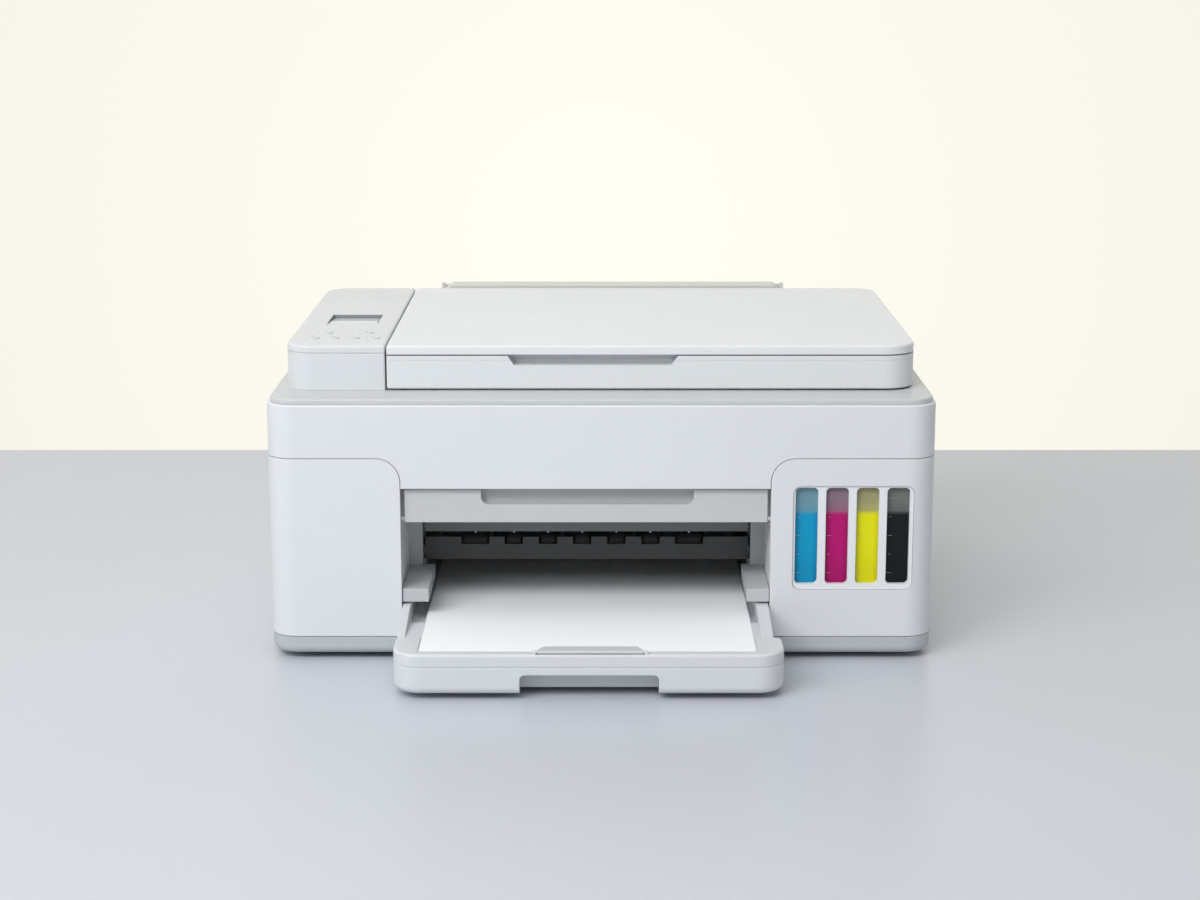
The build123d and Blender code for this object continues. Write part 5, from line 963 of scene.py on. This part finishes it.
def looking_ray(tree):
    """1 for the rays that look at a background: from the camera, off a gloss and through glass."""
    path = add(tree, "ShaderNodeLightPath")
    seen = add(tree, "ShaderNodeMath", operation="ADD", use_clamp=True)
    tree.links.new(path.outputs["Is Camera Ray"], seen.inputs[0])
    tree.links.new(path.outputs["Is Glossy Ray"], seen.inputs[1])
    seen_too = add(tree, "ShaderNodeMath", operation="ADD", use_clamp=True)
    tree.links.new(seen.outputs[0], seen_too.inputs[0])
    tree.links.new(path.outputs["Is Transmission Ray"], seen_too.inputs[1])
    return seen_too


def wall_finish():
    material, tree, shader = bare_material("Warm wall")
    place = add(tree, "ShaderNodeTexCoord")
    centre = add(tree, "ShaderNodeVectorMath", operation="DISTANCE")
    wire(tree, place, "Object", centre, 0)
    centre.inputs[1].default_value = (0.0, WALL_Y, 0.2)
    # Painted pool of light: the glow is lighter toward the middle of the wall behind the printer.
    glow = map_value(tree, (centre, "Value"), 0.0, 1.0, 0.1, 0.62)
    look = mix_colour(tree, (glow, 0), tone(255, 254, 243), tone(248, 244, 233))
    light = add(tree, "ShaderNodeEmission")
    tree.links.new(look.outputs[2], light.inputs["Color"])
    shader.inputs["Base Color"].default_value = tone(236, 232, 222)
    shader.inputs["Roughness"].default_value = 0.9
    front = add(tree, "ShaderNodeMixShader")
    tree.links.new(looking_ray(tree).outputs[0], front.inputs[0])
    tree.links.new(shader.outputs[0], front.inputs[1])
    tree.links.new(light.outputs[0], front.inputs[2])
    clear = add(tree, "ShaderNodeBsdfTransparent")
    side = add(tree, "ShaderNodeNewGeometry")
    whole = add(tree, "ShaderNodeMixShader")
    tree.links.new(side.outputs["Backfacing"], whole.inputs[0])
    tree.links.new(front.outputs[0], whole.inputs[1])
    tree.links.new(clear.outputs[0], whole.inputs[2])
    tree.links.new(whole.outputs[0], tree.nodes["Material Output"].inputs["Surface"])
    return material


def floor_finish():
    material, tree, shader = bare_material("Pale table")
    place = add(tree, "ShaderNodeTexCoord")
    cloud = add(tree, "ShaderNodeTexNoise", Scale=2.2, Detail=2.0)
    wire(tree, place, "Object", cloud, "Vector")
    look = mix_colour(tree, (cloud, "Fac"), tone(202, 206, 215), tone(196, 200, 209))
    tree.links.new(look.outputs[2], shader.inputs["Base Color"])
    rough = map_value(tree, (cloud, "Fac"), 0.3, 0.34)
    tree.links.new(rough.outputs[0], shader.inputs["Roughness"])
    shader.inputs["Specular IOR Level"].default_value = 0.35
    return material


floor = flat_mesh("floor", [(-STAGE, -STAGE, 0), (STAGE, -STAGE, 0), (STAGE, STAGE, 0), (-STAGE, STAGE, 0)])
floor.data.materials.append(floor_finish())
wall = flat_mesh("wall", [(-STAGE, WALL_Y, WALL_Z[0]), (STAGE, WALL_Y, WALL_Z[0]),
                          (STAGE, WALL_Y, WALL_Z[1]), (-STAGE, WALL_Y, WALL_Z[1])])
wall.data.materials.append(wall_finish())
print("wall at", WALL_Y, "m, floor at 0")

# %% [markdown]
# ## Light
# A wide lamp from the left is the key, one above the lens opens the front and the bay, and a weak one
# overhead keeps the lid clear. The sky fills the rest. The world shows its plain warm white only to the
# rays that look at it, so it doesn't light the printer.

# %% Light
def soft_lamp(name, place, aim, size, power):
    """A rectangular lamp at a place, turned toward its aim."""
    lamp = bpy.data.lights.new(name, "AREA")
    lamp.shape = "RECTANGLE"
    lamp.size, lamp.size_y = size
    lamp.energy = power
    holder = bpy.data.objects.new(name, lamp)
    holder.location = place
    holder.rotation_euler = (Vector(aim) - Vector(place)).to_track_quat("-Z", "Y").to_euler()
    bpy.context.scene.collection.objects.link(holder)


soft_lamp("key", (-1.25, -1.45, 1.35), (0, -0.05, 0.06), (1.2, 0.9), 20.0)
soft_lamp("front", (-0.45, -1.7, 1.75), (0, -0.05, 0.05), (1.2, 0.6), 16.0)
soft_lamp("top", (-0.1, -0.35, 2.1), (0, -0.05, 0.1), (1.5, 1.0), 4.0)

world = bpy.data.worlds.new("Studio")
bpy.context.scene.world = world
world.use_nodes = True
air = world.node_tree
sky = air.nodes["Background"]
sky.inputs["Color"].default_value = (0.985, 0.99, 1.0, 1.0)
sky.inputs["Strength"].default_value = 0.43
plain = add(air, "ShaderNodeBackground")
plain.inputs["Color"].default_value = tone(249, 246, 236)
plain.inputs["Strength"].default_value = 1.0
pick = add(air, "ShaderNodeMixShader")
air.links.new(looking_ray(air).outputs[0], pick.inputs[0])
air.links.new(sky.outputs[0], pick.inputs[1])
air.links.new(plain.outputs[0], pick.inputs[2])
air.links.new(pick.outputs[0], air.nodes["World Output"].inputs["Surface"])
bpy.context.scene.view_settings.view_transform = "Standard"
print("lamps:", len(bpy.data.lights))

# %% [markdown]
# ## The camera
# A 70 mm lens from about a metre and a half, looking twelve degrees down, gives the calm, nearly flat
# perspective of a product photograph: the front stays square and the lid shows its whole top.

# %% Camera
LOOK_DOWN = 12.28
camera = bpy.data.cameras.new("camera")
camera.lens = 70.0
camera.sensor_width = 36.0
camera.shift_x = -0.0011
camera_holder = bpy.data.objects.new("camera", camera)
camera_holder.location = (0.0, -1.59435, 0.4605)
camera_holder.rotation_euler = (math.radians(90 - LOOK_DOWN), 0.0, 0.0)
bpy.context.scene.collection.objects.link(camera_holder)
bpy.context.scene.camera = camera_holder
print("camera at", tuple(round(v, 3) for v in camera_holder.location))
